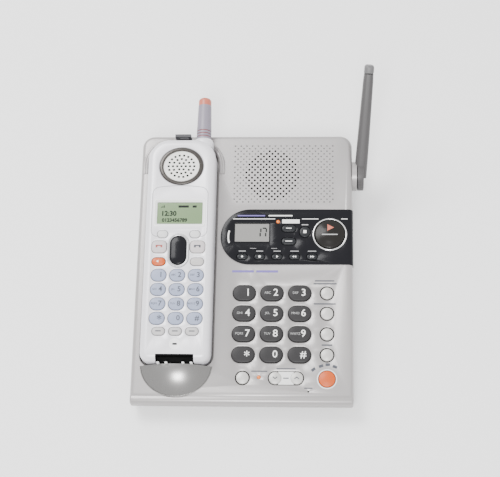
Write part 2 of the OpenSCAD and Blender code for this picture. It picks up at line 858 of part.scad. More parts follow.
module earpiece_receiver() {
    color("#2c2d30") {
        from_head(0, ear_t, handset_thick - 8.4) cylinder(r = 13, h = 5);
        from_head(0, ear_t, handset_thick - 11.4) cylinder(r = 7, h = 3.5);
    }
}

module handset_display_window() {
    color("#b7c98a", 0.6) from_head(0, lcd_t, handset_thick - 1.6) linear_extrude(1.4)
        square([lcd[0] - 2 * eps, lcd[1] - 2 * eps], center = true);
}

module handset_circuit_board() {
    board = [handset_w - 2 * shell - 7, handset_len - 58];
    color("#2f6b3c") {
        difference() {
            on_handset(-board[0] / 2, 6, pcb_z) cube([board[0], board[1], pcb_t]);
            for (at = handset_screw_at) on_handset(at[0], at[1], pcb_z - 1) cylinder(r = 3.5, h = 4);
        }
        from_head(-lcd[0] / 2, lcd_t + lcd[1] / 2, pcb_z + pcb_t - eps)
            cube([lcd[0], lcd[1], handset_thick - 2 - pcb_z - pcb_t]);
    }
}

// Stub with grip grooves near its root
module handset_antenna() {
    color("#8d8c96") {
        from_head(stub_x, 7.9, stub_z) rotate([-90, 0, 0]) cylinder(r = 5, h = 9);
        difference() {
            from_head(stub_x, -0.6, stub_z) rotate([-90, 0, 0])
                cylinder(r1 = stub_r[0], r2 = stub_r[1], h = stub_len - lamp_len);
            for (i = [0:2]) from_head(stub_x, -5 - 3 * i, stub_z) rotate([-90, 0, 0]) difference() {
                cylinder(r = 9, h = 0.9);
                cylinder(r = 5.8, h = 0.9);
            }
        }
    }
}

// Light cap on the stub that shows an incoming call
module handset_antenna_lamp() {
    color("salmon") from_head(stub_x, -0.6 - stub_len + lamp_len, stub_z) rotate([-90, 0, 0])
        rotate_extrude() intersection() {
            union() {
                square([stub_r[1] - 2.5, lamp_len]);
                square([stub_r[1] - 0.1, lamp_len - 2.5]);
                translate([stub_r[1] - 2.6, lamp_len - 2.5]) circle(2.5);
            }
            square([20, 20]);
        }
}

module handset_charge_contacts() {
    color("gold") for (side = [-1, 1])
        on_handset(side * contact_x - 2, contact_recess[1] - 0.6, 1.2) cube([4, 0.6, 11]);
}

module handset_screws() {
    color("lightgray") for (at = handset_screw_at) on_handset(at[0], at[1], 1.2) {
        cylinder(r = 2.6, h = 1.7);
        cylinder(r = 1.1, h = split_t + 5);
    }
}

// One silicone moulding: twelve dial caps, three function caps, two soft keys and
// the menu cap, on a thin web that runs round the separate keys
module handset_keypad() {
    cap_h = handset_thick + pad_rise - web_z;
    color("#a9b3c4") {
        from_head(0, (pad_t + function_t) / 2 + 0.6, web_z) linear_extrude(web_t)
            square([2 * web_half, function_t - pad_t + 13], center = true);
        for (side = [-1, 1]) {
            from_head(side * (web_half - 0.8), (soft_key_t + pad_t) / 2, web_z) linear_extrude(web_t)
                square([1.4, pad_t - soft_key_t + 7], center = true);
            from_head(side * (web_half - 8.3), soft_key_t, web_z) linear_extrude(web_t)
                square([16, 7.4], center = true);
            cap(side * soft_x, soft_key_t, cap_h) stadium(soft_key[0], soft_key[1]);
        }
        from_head(web_half - 7.3, speaker_row_t, web_z) linear_extrude(web_t)
            square([14, 7.4], center = true);
        cap(talk_x, speaker_row_t, cap_h) stadium(wide_key[0], wide_key[1]);
        for (column = [-1:1], row = [0:3])
            cap(column * pad_dx, pad_t + row * pad_dt, cap_h) stadium(pad_key[0], pad_key[1]);
        for (column = [-1:1])
            cap(column * function_dx, function_t, cap_h) stadium(function_key[0], function_key[1]);
    }
}

module cap(x, t, height)
    from_head(x, t, web_z) linear_extrude(height) children();

// A hard key of the handset: a cap over a plunger
module handset_key(x, t) {
    from_head(x, t, web_z) linear_extrude(handset_thick + pad_rise - web_z) children(0);
    from_head(x, t, web_z) linear_extrude(web_t) children(1);
    from_head(x, t, pcb_z + pcb_t + pad_travel + 0.4) cylinder(r = 2, h = 4);
}

module talk_shape(grow)
    rounded_rect(talk_key_size[0] + grow, talk_key_size[1] + grow, 3.5);

module talk_key() {
    color("#a9b3c4") handset_key(-talk_x, talk_t) {
        talk_shape(0);
        talk_shape(1.4);
    }
}

module off_key() {
    color("#a9b3c4") handset_key(talk_x, talk_t) {
        talk_shape(0);
        talk_shape(1.4);
    }
}

module handset_speaker_key() {
    color("darkorange") handset_key(-talk_x, speaker_row_t) {
        stadium(wide_key[0], wide_key[1]);
        stadium(wide_key[0] + 1.4, wide_key[1] + 1.4);
    }
}

// Rocker that tips up and down about the nibs at its middle
module navigator_key() {
    color("#1b1c1f") {
        from_head(0, nav_t, web_z - 0.6) linear_extrude(handset_thick + pad_rise - web_z + 0.6)
            stadium(nav_size[0], nav_size[1]);
        from_head(0, nav_t, web_z - 2.4) cylinder(r = 2, h = 2.5);
        from_head(-nav_size[0] / 2 - 1, nav_t, web_z + 0.4) rotate([0, 90, 0])
            cylinder(r = nib_r, h = nav_size[0] + 2);
    }
}

base_top_cover();
base_bottom_cover();
answering_panel();
base_display_window();
base_circuit_board();
loudspeaker();
base_charge_contacts();
line_jack();
power_jack();
rubber_feet();
base_screws();
lamp_lenses();
antenna_mount();
cradle_hook();
base_antenna();
dial_key(0, 0);  // dial_key_1
dial_key(1, 0);  // dial_key_2
dial_key(2, 0);  // dial_key_3
dial_key(0, 1);  // dial_key_4
dial_key(1, 1);  // dial_key_5
dial_key(2, 1);  // dial_key_6
dial_key(0, 2);  // dial_key_7
dial_key(1, 2);  // dial_key_8
dial_key(2, 2);  // dial_key_9
dial_key(0, 3);  // dial_key_star
dial_key(1, 3);  // dial_key_0
dial_key(2, 3);  // dial_key_hash
round_key(round_x, dial_s + 3 * dial_ds, round_key_d, "silver");  // locator_key
round_key(round_x, dial_s + 2 * dial_ds, round_key_d, "silver");  // call_wait_key
round_key(round_x, dial_s + dial_ds, round_key_d, "silver");  // redial_key
round_key(round_x, dial_s, round_key_d, "silver");  // conference_key
round_key(dial_x, bottom_row_s, round_key_d, "silver");  // hold_key
round_key(round_x, bottom_row_s - 0.5, speaker_key_d, "darkorange");  // speakerphone_key
volume_key();
message_key();
panel_key(panel_x + 46, panel_s + 4.2, 9, 9.6, 0.5);  // stop_key
panel_key(panel_x + 32.6, panel_s - 4.2, 12, 6, 0.5);  // erase_key
panel_key(panel_x + 32.6, panel_s + 7.2, 12, 6, 0.5);  // answer_on_key
small_panel_key(0);  // memo_key
small_panel_key(1);  // greeting_record_key
small_panel_key(2);  // greeting_check_key
small_panel_key(3);  // repeat_key
small_panel_key(4);  // skip_key
handset_front_shell();
handset_rear_shell();
battery_door();
battery_pack();
earpiece_grille();
earpiece_receiver();
handset_display_window();
handset_circuit_board();
handset_antenna();
handset_antenna_lamp();
handset_charge_contacts();
handset_screws();
handset_keypad();
talk_key();
off_key();
handset_speaker_key();
navigator_key();
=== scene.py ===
"""Cordless telephone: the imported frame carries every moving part, and this script gives the set its looks."""
import json
import math

import bmesh
import bpy
from mathutils import Matrix, Vector


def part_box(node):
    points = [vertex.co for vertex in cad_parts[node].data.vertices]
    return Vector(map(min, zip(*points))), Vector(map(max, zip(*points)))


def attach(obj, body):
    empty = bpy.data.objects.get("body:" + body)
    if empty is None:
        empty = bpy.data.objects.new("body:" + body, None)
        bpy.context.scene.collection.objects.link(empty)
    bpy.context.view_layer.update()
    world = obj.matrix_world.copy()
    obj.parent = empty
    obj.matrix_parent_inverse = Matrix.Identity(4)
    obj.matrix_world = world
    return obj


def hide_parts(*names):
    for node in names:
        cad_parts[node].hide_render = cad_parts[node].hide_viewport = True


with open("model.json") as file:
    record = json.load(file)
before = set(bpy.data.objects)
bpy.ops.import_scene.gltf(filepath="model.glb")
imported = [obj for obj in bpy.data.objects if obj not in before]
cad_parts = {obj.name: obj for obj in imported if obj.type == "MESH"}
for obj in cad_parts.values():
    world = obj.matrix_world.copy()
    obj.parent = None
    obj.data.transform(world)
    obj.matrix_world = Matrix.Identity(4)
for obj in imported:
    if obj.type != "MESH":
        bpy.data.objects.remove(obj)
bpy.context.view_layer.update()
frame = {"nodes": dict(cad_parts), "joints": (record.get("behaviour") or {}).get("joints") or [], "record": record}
record = frame["record"]

# ---- Sizes, in millimetres, and the frames that the parts are drawn in ----

MM = 0.001
PLINTH_INSET = 1.5
FRONT_H = 22.0
FACE_LEN = 230.0
WALL = 2.5
PARTING_Z = 9.0
CORNER_R = 10.0
RIM_R = 4.0
DOCK_TILT = math.radians(1.5)
DOCK_GAP = 1.6
SEAT_DEPTH = 11.0
POCKET_FLOOR_AREA = 4000.0
RIM_FROM_S = 194.0
DOME_R = 28.6
RIB_H = 22.6
RIB_XS = (-13.4, -6.8, 6.8, 13.4)
LINE_JACK_X = 20.0
POWER_JACK_X = 52.0
JACK_Z = 22.0
ANTENNA_LEAN = 45
TAIL_S = 27.0
HANDSET_LEN = FACE_LEN - 38.0
HANDSET_W = 57.0
HANDSET_THICK = 26.0


def joint(name):
    return next(j for j in frame["joints"] if j["name"] == name)


def rotated(degrees, axis):
    return Matrix.Rotation(math.radians(degrees), 4, axis)


def node_box(name):
    """Lowest and highest corner of a CAD node, in millimetres."""
    low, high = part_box(name)
    return Vector(low) / MM, Vector(high) / MM


plinth_low, plinth_high = node_box("base_bottom_cover")
BASE_W = plinth_high.x - plinth_low.x + 2 * PLINTH_INSET
MID_X = (plinth_low.x + plinth_high.x) / 2
FRONT_Y = plinth_low.y - PLINTH_INSET
BASE_D = plinth_high.y - plinth_low.y + 2 * PLINTH_INSET
press_axis = Vector(joint("dial_key_5_press")["axis"])
FACE_TILT = math.atan2(press_axis.y, -press_axis.z)
HANDSET_X = 36.7 - BASE_W / 2
ROUND_X = BASE_W / 2 - 21.3
DIAL_X = ROUND_X - 67.9
DIAL_DX = 22.8
DIAL_S = 35.6
DIAL_DS = 17.35
BOTTOM_ROW_S = 16.4
VOLUME_X = DIAL_X + 35
VOLUME_HALF = 8.7
PANEL_X = BASE_W / 2 - 85.7
PANEL_S = FACE_LEN - 93.1
PANEL_R = 24.4
PANEL_RISE = 0.6
MESSAGE_AT = (PANEL_X + 66.7, PANEL_S + 1.9)
MESSAGE_R = 12.4
WINDOW = (30.4, 17.6)
WINDOW_AT = (PANEL_X + 1.8, PANEL_S + 3.6)
GRILLE_AT = (BASE_W / 2 - 67.8, FACE_LEN - 37.2)
GRILLE_R = 23.0
HOLE_PITCH = 4.9
KEY_GAP = 0.4
KEY_RISE = 1.8
FLANGE_H = -WALL - 0.3
STEM_R = 2.0
STEM_LOW = -6.95


def desk(x=0.0, y=0.0, z=0.0):
    """Millimetres from the middle of the base's front edge, on the desk."""
    return Matrix.Scale(MM, 4) @ Matrix.Translation((MID_X + x, FRONT_Y + y, z))


def face(x=0.0, s=0.0, h=0.0):
    """x across, s up the sloping top from its front edge, h out of it."""
    return desk(0, 0, FRONT_H) @ Matrix.Rotation(FACE_TILT, 4, "X") @ Matrix.Translation((x, s, h))


def handset(x=0.0, t=0.0, z=0.0):
    """x across, t from the head towards the tail, z from the back."""
    seat = face(HANDSET_X, TAIL_S, -SEAT_DEPTH) @ Matrix.Rotation(DOCK_TILT, 4, "X")
    return seat @ Matrix.Translation((x, HANDSET_LEN - t, z))


# ---- Stage: camera, lights and floor ----

CAMERA_AT = (63.7, -351.4, 963.5)
CAMERA_LOOK = (-0.0567, 0.4649, -0.8835)
CAMERA_ROLL = math.radians(6.06)
CAMERA_LENS = 90.0


def make_camera():
    camera = bpy.data.objects.new("camera", bpy.data.cameras.new("camera"))
    camera.data.lens = CAMERA_LENS
    camera.data.sensor_width = 36
    camera.data.clip_end = 20
    camera.location = desk(*CAMERA_AT).translation
    turn = Vector(CAMERA_LOOK).to_track_quat("-Z", "Y").to_matrix().to_4x4()
    camera.rotation_euler = (turn @ Matrix.Rotation(-CAMERA_ROLL, 4, "Z")).to_euler()
    bpy.context.collection.objects.link(camera)
    bpy.context.scene.camera = camera


def area_light(name, spot, aim, size, power):
    lamp = bpy.data.lights.new(name, "AREA")
    lamp.energy = power
    lamp.size = size
    light = bpy.data.objects.new(name, lamp)
    light.location = spot
    light.rotation_euler = (Vector(aim) - Vector(spot)).to_track_quat("-Z", "Y").to_euler()
    bpy.context.collection.objects.link(light)


def make_stage():
    world = bpy.data.worlds.new("studio")
    world.use_nodes = True
    world.node_tree.nodes["Background"].inputs["Color"].default_value = (1.0, 1.0, 1.0, 1)
    world.node_tree.nodes["Background"].inputs["Strength"].default_value = 1.45
    bpy.context.scene.world = world
    area_light("key_light", (-0.7, 0.6, 1.5), (0, 0, 0.03), 0.8, 30)
    area_light("front_light", (-0.05, -0.9, 1.4), (0, 0, 0.03), 0.4, 20)
    floor_mesh = bmesh.new()
    bmesh.ops.create_grid(floor_mesh, x_segments=1, y_segments=1, size=6)
    floor = finish_piece("studio_floor", floor_mesh, Matrix.Identity(4), [floor_paper()])


# ---- Materials ----


def material(name, color, roughness, metallic=0.0, coat=0.0):
    """A Principled surface whose uniform values sit on the shader's own sockets."""
    made = bpy.data.materials.new(name)
    made.use_nodes = True
    shader = made.node_tree.nodes["Principled BSDF"]
    shader.inputs["Base Color"].default_value = (*color, 1)
    shader.inputs["Roughness"].default_value = roughness
    shader.inputs["Metallic"].default_value = metallic
    shader.inputs["Coat Weight"].default_value = coat
    made.diffuse_color = (*color, 1)
    return made


def object_noise(made, scale, detail=2.0):
    """Noise in the object's own coordinates, in metres."""
    nodes, links = made.node_tree.nodes, made.node_tree.links
    place = nodes.new("ShaderNodeTexCoord")
    noise = nodes.new("ShaderNodeTexNoise")
    noise.inputs["Scale"].default_value = scale
    noise.inputs["Detail"].default_value = detail
    links.new(place.outputs["Object"], noise.inputs["Vector"])
    return noise


def tint_by(made, noise, low, high, spread=(0.35, 0.65)):
    """Lets a noise sway the base colour between two close colours."""
    nodes, links = made.node_tree.nodes, made.node_tree.links
    ramp = nodes.new("ShaderNodeValToRGB")
    ramp.color_ramp.elements[0].position = spread[0]
    ramp.color_ramp.elements[1].position = spread[1]
    ramp.color_ramp.elements[0].color = (*low, 1)
    ramp.color_ramp.elements[1].color = (*high, 1)
    links.new(noise.outputs["Fac"], ramp.inputs["Fac"])
    links.new(ramp.outputs["Color"], nodes["Principled BSDF"].inputs["Base Color"])


def bump_by(made, noise, strength, depth):
    nodes, links = made.node_tree.nodes, made.node_tree.links
    bump = nodes.new("ShaderNodeBump")
    bump.inputs["Strength"].default_value = strength
    bump.inputs["Distance"].default_value = depth
    links.new(noise.outputs["Fac"], bump.inputs["Height"])
    links.new(bump.outputs["Normal"], nodes["Principled BSDF"].inputs["Normal"])


def rough_by(made, noise, low, high):
    nodes, links = made.node_tree.nodes, made.node_tree.links
    spread = nodes.new("ShaderNodeMapRange")
    spread.inputs["To Min"].default_value = low
    spread.inputs["To Max"].default_value = high
    links.new(noise.outputs["Fac"], spread.inputs["Value"])
    links.new(spread.outputs["Result"], nodes["Principled BSDF"].inputs["Roughness"])


def speckled(name, color, sway, grain_scale, roughness, metallic=0.0, coat=0.0, grain=0.12, depth=0.00005):
    """Moulded plastic or paint: fine grain in the surface and a slight sway in its colour."""
    made = material(name, color, roughness, metallic, coat)
    dark = tuple(c * (1 - sway) for c in color)
    light = tuple(min(1.0, c * (1 + sway)) for c in color)
    fine = object_noise(made, grain_scale)
    tint_by(made, fine, dark, light)
    bump_by(made, fine, grain, depth)
    rough_by(made, object_noise(made, grain_scale / 30), roughness * 0.88, roughness * 1.12)
    return made


def gloss_black(name, color, roughness):
    """Dark moulding whose surface mirrors only a little of the room."""
    made = speckled(name, color, 0.12, 2400, roughness, grain=0.02)
    made.node_tree.nodes["Principled BSDF"].inputs["Specular IOR Level"].default_value = 0.16
    return made


def floor_paper():
    return speckled("floor_paper", (0.93, 0.93, 0.93), 0.01, 900, 0.9)


def silver_paint():
    """Silver casing paint: fine metal flake under a satin lacquer."""
    color = (0.35, 0.335, 0.332)
    return speckled("silver_paint", color, 0.05, 2600, 0.34, metallic=0.35, grain=0.05, depth=0.00002)


MATERIALS = {
    "silver_casing": silver_paint(),
    "light_plastic": speckled("light_plastic", (0.74, 0.74, 0.73), 0.04, 1800, 0.5),
    "black_gloss": gloss_black("black_gloss", (0.006, 0.006, 0.008), 0.2),
    "dark_key": gloss_black("dark_key", (0.028, 0.027, 0.028), 0.4),
    "silver_key": speckled("silver_key", (0.50, 0.49, 0.47), 0.06, 2600, 0.4, metallic=0.3),
    "orange_key": speckled("orange_key", (0.52, 0.075, 0.0), 0.05, 1500, 0.4),
    "pad_blue": speckled("pad_blue", (0.26, 0.295, 0.41), 0.05, 1800, 0.45),
    "antenna_grey": speckled("antenna_grey", (0.062, 0.059, 0.06), 0.07, 2200, 0.45),
    "stub_grey": speckled("stub_grey", (0.21, 0.19, 0.235), 0.05, 2200, 0.42),
    "lamp_salmon": speckled("lamp_salmon", (0.46, 0.12, 0.075), 0.05, 1500, 0.35),
    "lamp_orange": speckled("lamp_orange", (0.70, 0.16, 0.01), 0.05, 1500, 0.3),
    "display_glass": speckled("display_glass", (0.20, 0.196, 0.188), 0.03, 1500, 0.2),
    "green_glass": speckled("green_glass", (0.14, 0.215, 0.105), 0.03, 1500, 0.2),
    "board_green": speckled("board_green", (0.03, 0.16, 0.06), 0.2, 900, 0.45),
    "speaker_black": speckled("speaker_black", (0.03, 0.03, 0.032), 0.2, 1800, 0.7),
    "gold_contact": speckled("gold_contact", (0.83, 0.62, 0.25), 0.05, 1800, 0.25, metallic=1.0),
    "socket_black": speckled("socket_black", (0.03, 0.03, 0.033), 0.15, 1800, 0.5),
    "foot_rubber": speckled("foot_rubber", (0.03, 0.03, 0.03), 0.2, 2200, 0.8),
    "screw_steel": speckled("screw_steel", (0.55, 0.55, 0.54), 0.05, 2600, 0.3, metallic=1.0),
    "ear_metal": speckled("ear_metal", (0.42, 0.42, 0.45), 0.06, 2600, 0.35, metallic=0.5),
    "battery_wrap": speckled("battery_wrap", (0.04, 0.15, 0.42), 0.08, 900, 0.3, coat=0.3),
    # Dark grey of the hook's U-shaped frame: painted shade for the shadow gap round the hook's light tab.
    "hook_grey": speckled("hook_grey", (0.03, 0.03, 0.034), 0.1, 2200, 0.45),
    "white_print": speckled("white_print", (0.80, 0.80, 0.78), 0.03, 1500, 0.5),
    "grey_print": speckled("grey_print", (0.045, 0.05, 0.065), 0.05, 1500, 0.5),
    "pale_print": speckled("pale_print", (0.34, 0.34, 0.34), 0.05, 1500, 0.5),
    "lilac_print": speckled("lilac_print", (0.13, 0.10, 0.34), 0.05, 1500, 0.5),
    "red_print": speckled("red_print", (0.33, 0.055, 0.04), 0.05, 1500, 0.5),
    "chrome": speckled("chrome", (0.80, 0.80, 0.80), 0.02, 2600, 0.16, metallic=1.0, grain=0.02),
    # Pure black painted on the floors and walls of gaps, wells, holes and notches: painted shade where the real
    # surfaces only lie in shadow.
    "painted_shade_black": gloss_black("painted_shade_black", (0.004, 0.004, 0.004), 0.75),
    "handset_silver": speckled(
        "handset_silver", (0.74, 0.73, 0.765), 0.03, 2600, 0.34, metallic=0.15, grain=0.04),
    "handset_white": speckled("handset_white", (0.90, 0.90, 0.90), 0.02, 2000, 0.4),
    "lcd_segment": gloss_black("lcd_segment", (0.008, 0.011, 0.009), 0.5),
    "tip_grey": speckled("tip_grey", (0.12, 0.118, 0.12), 0.06, 2200, 0.45),
    "grille_white": speckled("grille_white", (0.78, 0.77, 0.73), 0.02, 2000, 0.45),
    "dome_satin": speckled("dome_satin", (0.25, 0.245, 0.24), 0.04, 2600, 0.27, metallic=0.95, grain=0.03),
    "panel_key_grey": gloss_black("panel_key_grey", (0.016, 0.017, 0.019), 0.3),
    "message_black": gloss_black("message_black", (0.013, 0.012, 0.011), 0.22),
    "nav_bezel": speckled("nav_bezel", (0.42, 0.42, 0.43), 0.05, 2600, 0.3, metallic=0.5),
    # Dark grey painted on the pocket walls and on the dimple floors: painted shade in those recesses.
    "painted_shade_grey": speckled("painted_shade_grey", (0.10, 0.098, 0.096), 0.05, 1800, 0.6),
    # Grey of the line round the handset's display zone: painted shade for a groove.
    "groove_shade_grey": speckled("groove_shade_grey", (0.30, 0.30, 0.31), 0.05, 1800, 0.6),
    "ear_bronze": speckled("ear_bronze", (0.055, 0.05, 0.046), 0.12, 2600, 0.32, metallic=0.6),
    "function_grey": speckled("function_grey", (0.44, 0.43, 0.43), 0.04, 1800, 0.45),
    "soft_white": speckled("soft_white", (0.62, 0.62, 0.62), 0.03, 1800, 0.4),
    "menu_beige": speckled("menu_beige", (0.46, 0.44, 0.43), 0.04, 1800, 0.45),
    "talk_pink": speckled("talk_pink", (0.50, 0.46, 0.465), 0.04, 1800, 0.42),
}


# ---- Shaping helpers ----


def round_corners(bm, corners, radius, segments):
    bmesh.ops.bevel(
        bm, geom=corners, offset=radius, affect="VERTICES", segments=segments, profile=0.5, material=-1)


def flat(w, l, r=0.0, segments=6):
    """A mesh of one flat face: a rectangle with round corners."""
    bm = bmesh.new()
    bmesh.ops.create_grid(bm, x_segments=1, y_segments=1, size=0.5)
    bmesh.ops.scale(bm, vec=(w, l, 1), verts=bm.verts)
    if r > 0:
        radius = min(r, 0.499 * min(w, l))
        round_corners(bm, bm.verts[:], radius, segments)
        bmesh.ops.remove_doubles(bm, verts=bm.verts, dist=0.06)
    return bm


def disc(r, segments=40):
    """A mesh of one round flat face."""
    bm = bmesh.new()
    bmesh.ops.create_circle(bm, cap_ends=True, segments=segments, radius=r)
    return bm


def widen(bm, face, grow):
    """Spreads a face in its plane by the same distance all round."""
    xs = [v.co.x for v in face.verts]
    ys = [v.co.y for v in face.verts]
    w, l = max(xs) - min(xs), max(ys) - min(ys)
    middle = Vector(((max(xs) + min(xs)) / 2, (max(ys) + min(ys)) / 2, 0))
    wider = ((w + 2 * grow) / w, (l + 2 * grow) / l, 1)
    bmesh.ops.scale(bm, vec=wider, space=Matrix.Translation(-middle), verts=face.verts)


def build_up(bm, steps):
    """Raises the mesh's one flat face by steps, each drawn in by a distance and lifted by another."""
    bm.faces.ensure_lookup_table()
    top = bm.faces[0]
    for inset, lift in steps:
        if inset > 0:
            bmesh.ops.inset_region(bm, faces=[top], thickness=inset, use_boundary=True, use_even_offset=True)
        else:
            before = top
            joined = any(len(e.link_faces) > 1 for e in before.edges)
            raised = bmesh.ops.extrude_face_region(bm, geom=[before])["geom"]
            top = next(part for part in raised if isinstance(part, bmesh.types.BMFace))
            if joined and before.is_valid:
                bmesh.ops.delete(bm, geom=[before], context="FACES_ONLY")
            if inset < 0:
                widen(bm, top, -inset)
        bmesh.ops.translate(bm, vec=(0, 0, lift), verts=top.verts)
    return bm


def round_in(inset, rise, count=4):
    """Steps of a quarter round, from an upright wall over to a flat top."""
    turns = [math.pi / 2 * i / count for i in range(count + 1)]
    return [(inset * (math.cos(a) - math.cos(b)), rise * (math.sin(b) - math.sin(a)))
            for a, b in zip(turns, turns[1:])]


def crown(inset, rise, count=3):
    """Steps of a low dome that flattens towards its middle."""
    ways = [i / count for i in range(count + 1)]
    return [(inset / count, rise * ((1 - a) ** 2 - (1 - b) ** 2)) for a, b in zip(ways, ways[1:])]


def at(x=0.0, y=0.0, z=0.0, turn=0.0):
    return Matrix.Translation((x, y, z)) @ rotated(turn, "Z")


def join(bm, part, place=None):
    """Joins a part to a mesh at its place, with the material numbers that it has."""
    if place is not None:
        part.transform(place)
    holder = bpy.data.meshes.new("joined")
    part.to_mesh(holder)
    part.free()
    bm.from_mesh(holder)
    bpy.data.meshes.remove(holder)
    return bm


def add(bm, part, place=None, slot=0):
    """Joins a part to a mesh, at its place and in one of the piece's materials."""
    for shape in part.faces:
        shape.material_index = slot
    return join(bm, part, place)


def only(kind, parts):
    return [part for part in parts if isinstance(part, kind)]


def lettering(text, size, weight=0.0, thick=0.05):
    """Characters as a thin closed mesh, about the origin."""
    curve = bpy.data.curves.new("characters", "FONT")
    curve.body = text
    curve.size = size
    curve.offset = weight
    curve.extrude = thick
    curve.align_x = "CENTER"
    curve.align_y = "CENTER"
    curve.resolution_u = 3
    holder = bpy.data.objects.new("characters", curve)
    mesh = bpy.data.meshes.new_from_object(holder)
    bm = bmesh.new()
    bm.from_mesh(mesh)
    bmesh.ops.remove_doubles(bm, verts=bm.verts, dist=0.001)
    bpy.data.objects.remove(holder)
    bpy.data.curves.remove(curve)
    bpy.data.meshes.remove(mesh)
    return bm


def bar_mark(w, l, thick=0.08):
    return build_up(flat(w, l), [(0, thick)])


def disc_mark(r):
    return build_up(disc(r, 16), [(0, 0.08)])


def arrow_mark(size, thick=0.08):
    """A triangle that points along +X."""
    bm = build_up(disc(size, 3), [(0, thick)])
    bm.transform(rotated(-90, "Z"))
    return bm


def finish_piece(name, bm, place, materials, shape_angle=38, closed=True):
    """Turns a mesh drawn in a local frame into a piece whose object sits at the origin."""
    bmesh.ops.remove_doubles(bm, verts=bm.verts, dist=0.0004)
    if closed:
        bmesh.ops.recalc_face_normals(bm, faces=bm.faces)
    bm.normal_update()
    for shape in bm.faces:
        shape.smooth = abs(shape.normal.z) < 0.9999
    bm.transform(place)
    mesh = bpy.data.meshes.new(name)
    bm.to_mesh(mesh)
    bm.free()
    for made in materials:
        mesh.materials.append(made)
    mesh.set_sharp_from_angle(angle=math.radians(shape_angle))
    piece = bpy.data.objects.new(name, mesh)
    bpy.context.collection.objects.link(piece)
    return piece


def settle(piece, body, slot, *nodes):
    """Puts a piece on its body and hides the CAD nodes that it stands for; the slot argument is not used."""
    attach(piece, body)
    if nodes:
        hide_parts(*nodes)
    return piece


def chosen(*names):
    return [MATERIALS[name] for name in names]


# ---- Openings in a flat top ----


def well(outline, depth, chamfer=0.35, lip_slot=0, floor_slot=1):
    """A blind opening: the outline at the surface, a chamfer, then a wall and a floor painted dark as painted
    shade.
    """
    build_up(outline, [(chamfer, -0.7 * chamfer), (0, -depth)])
    for shape in outline.faces:
        inside = min(v.co.z for v in shape.verts) < -chamfer
        shape.material_index = floor_slot if inside else lip_slot
    return outline


def open_rims(bm, point, normal):
    """Free edges that lie in a plane."""
    free = [e for e in bm.edges if len(e.link_faces) < 2]
    return [e for e in free if all(abs((v.co - point).dot(normal)) < 0.002 for v in e.verts)]


def close_flat(bm, point=Vector((0, 0, 0)), normal=Vector((0, 0, 1))):
    """Fills the flat surface between the outer rim and the rims of its openings."""
    rims = open_rims(bm, point, normal)
    bmesh.ops.triangle_fill(bm, use_beauty=True, use_dissolve=False, edges=rims, normal=normal)


# ---- Base: top cover ----


def cover_body():
    """The casing in the top's own frame, with its flat top left out."""
    bm = flat(BASE_W, BASE_D)
    rear = [v for v in bm.verts if v.co.y > 0]
    round_corners(bm, rear, CORNER_R, 8)
    bm.transform(Matrix.Translation((0, BASE_D / 2, PARTING_Z)))
    build_up(bm, [(0, 80)])
    bm.transform(Matrix.Rotation(-FACE_TILT, 4, "X") @ Matrix.Translation((0, 0, -FRONT_H)))
    around = bm.verts[:] + bm.edges[:] + bm.faces[:]
    cut = bmesh.ops.bisect_plane(bm, geom=around, plane_co=(0, 0, 0), plane_no=(0, 0, 1), clear_outer=True)
    rim = only(bmesh.types.BMEdge, cut["geom_cut"])
    top = bmesh.ops.contextual_create(bm, geom=rim)["faces"]
    rim = [e for shape in top for e in shape.edges]
    bmesh.ops.bevel(bm, geom=rim, offset=RIM_R, affect="EDGES", segments=6, profile=0.5, material=-1)
    bm.normal_update()
    lid = max(bm.faces, key=lambda shape: shape.calc_area() * (shape.calc_center_median().z > -0.01))
    bmesh.ops.delete(bm, geom=[lid], context="FACES_ONLY")
    return bm


def cradle_outline(grow):
    """Plan of the handset, grown all round: round head corners, tighter tail corners."""
    length = HANDSET_LEN + 2 * grow
    bm = flat(HANDSET_W + 2 * grow, length)
    for side, radius in ((1, 18 + grow), (-1, 7.5 + grow)):
        corners = [v for v in bm.verts if v.co.y * side > length / 2 - 0.01 and len(v.link_edges) == 2]
        round_corners(bm, corners, radius, 10)
    return bm


def cradle_well():
    """The handset's pocket: walls painted dark grey as painted shade, down to a silver floor that rises towards
    the head.
    """
    bm = cradle_outline(DOCK_GAP + 0.5)
    build_up(bm, [(0.5, -0.5), (0, -SEAT_DEPTH - 0.2)])
    for v in bm.verts:
        if v.co.z < -5:
            v.co.z += (v.co.y + HANDSET_LEN / 2) * math.tan(DOCK_TILT)
    # Walls take the dark grey slot, painted shade for the deep, narrow gap round the handset.
    for shape in bm.faces:
        walled = min(v.co.z for v in shape.verts) < -1 and shape.calc_area() < POCKET_FLOOR_AREA
        shape.material_index = 3 if walled else 0
    return bm


def key_wells(bm):
    def key_hole(w, l, x, s):
        more = 2 * KEY_GAP + (1.2 if w == l else 0.7)
        # Round keys get their chamfer painted black as well: painted shade in the gap round them.
        join(bm, well(flat(w + more, l + more, 50, 10), 2.2, lip_slot=int(w == l)), at(x, s))

    for column in range(3):
        for row in range(4):
            key_hole(18.6, 13.3, DIAL_X + column * DIAL_DX, DIAL_S + row * DIAL_DS)
    for row in range(4):
        key_hole(10.2, 10.2, ROUND_X, DIAL_S + row * DIAL_DS)
    key_hole(10.2, 10.2, DIAL_X, BOTTOM_ROW_S)
    halo = build_up(disc(8.2, 48), [(0.25, 0.35), (0.7, 0.1), (0.12, -0.45), (0, -2.4)])
    for shape in halo.faces:
        # Deeper faces of the halo well are painted black, painted shade; the upper rings stay light plastic.
        shape.material_index = 1 if min(v.co.z for v in shape.verts) < -0.5 else 2
    join(bm, halo, at(ROUND_X, BOTTOM_ROW_S - 0.5))


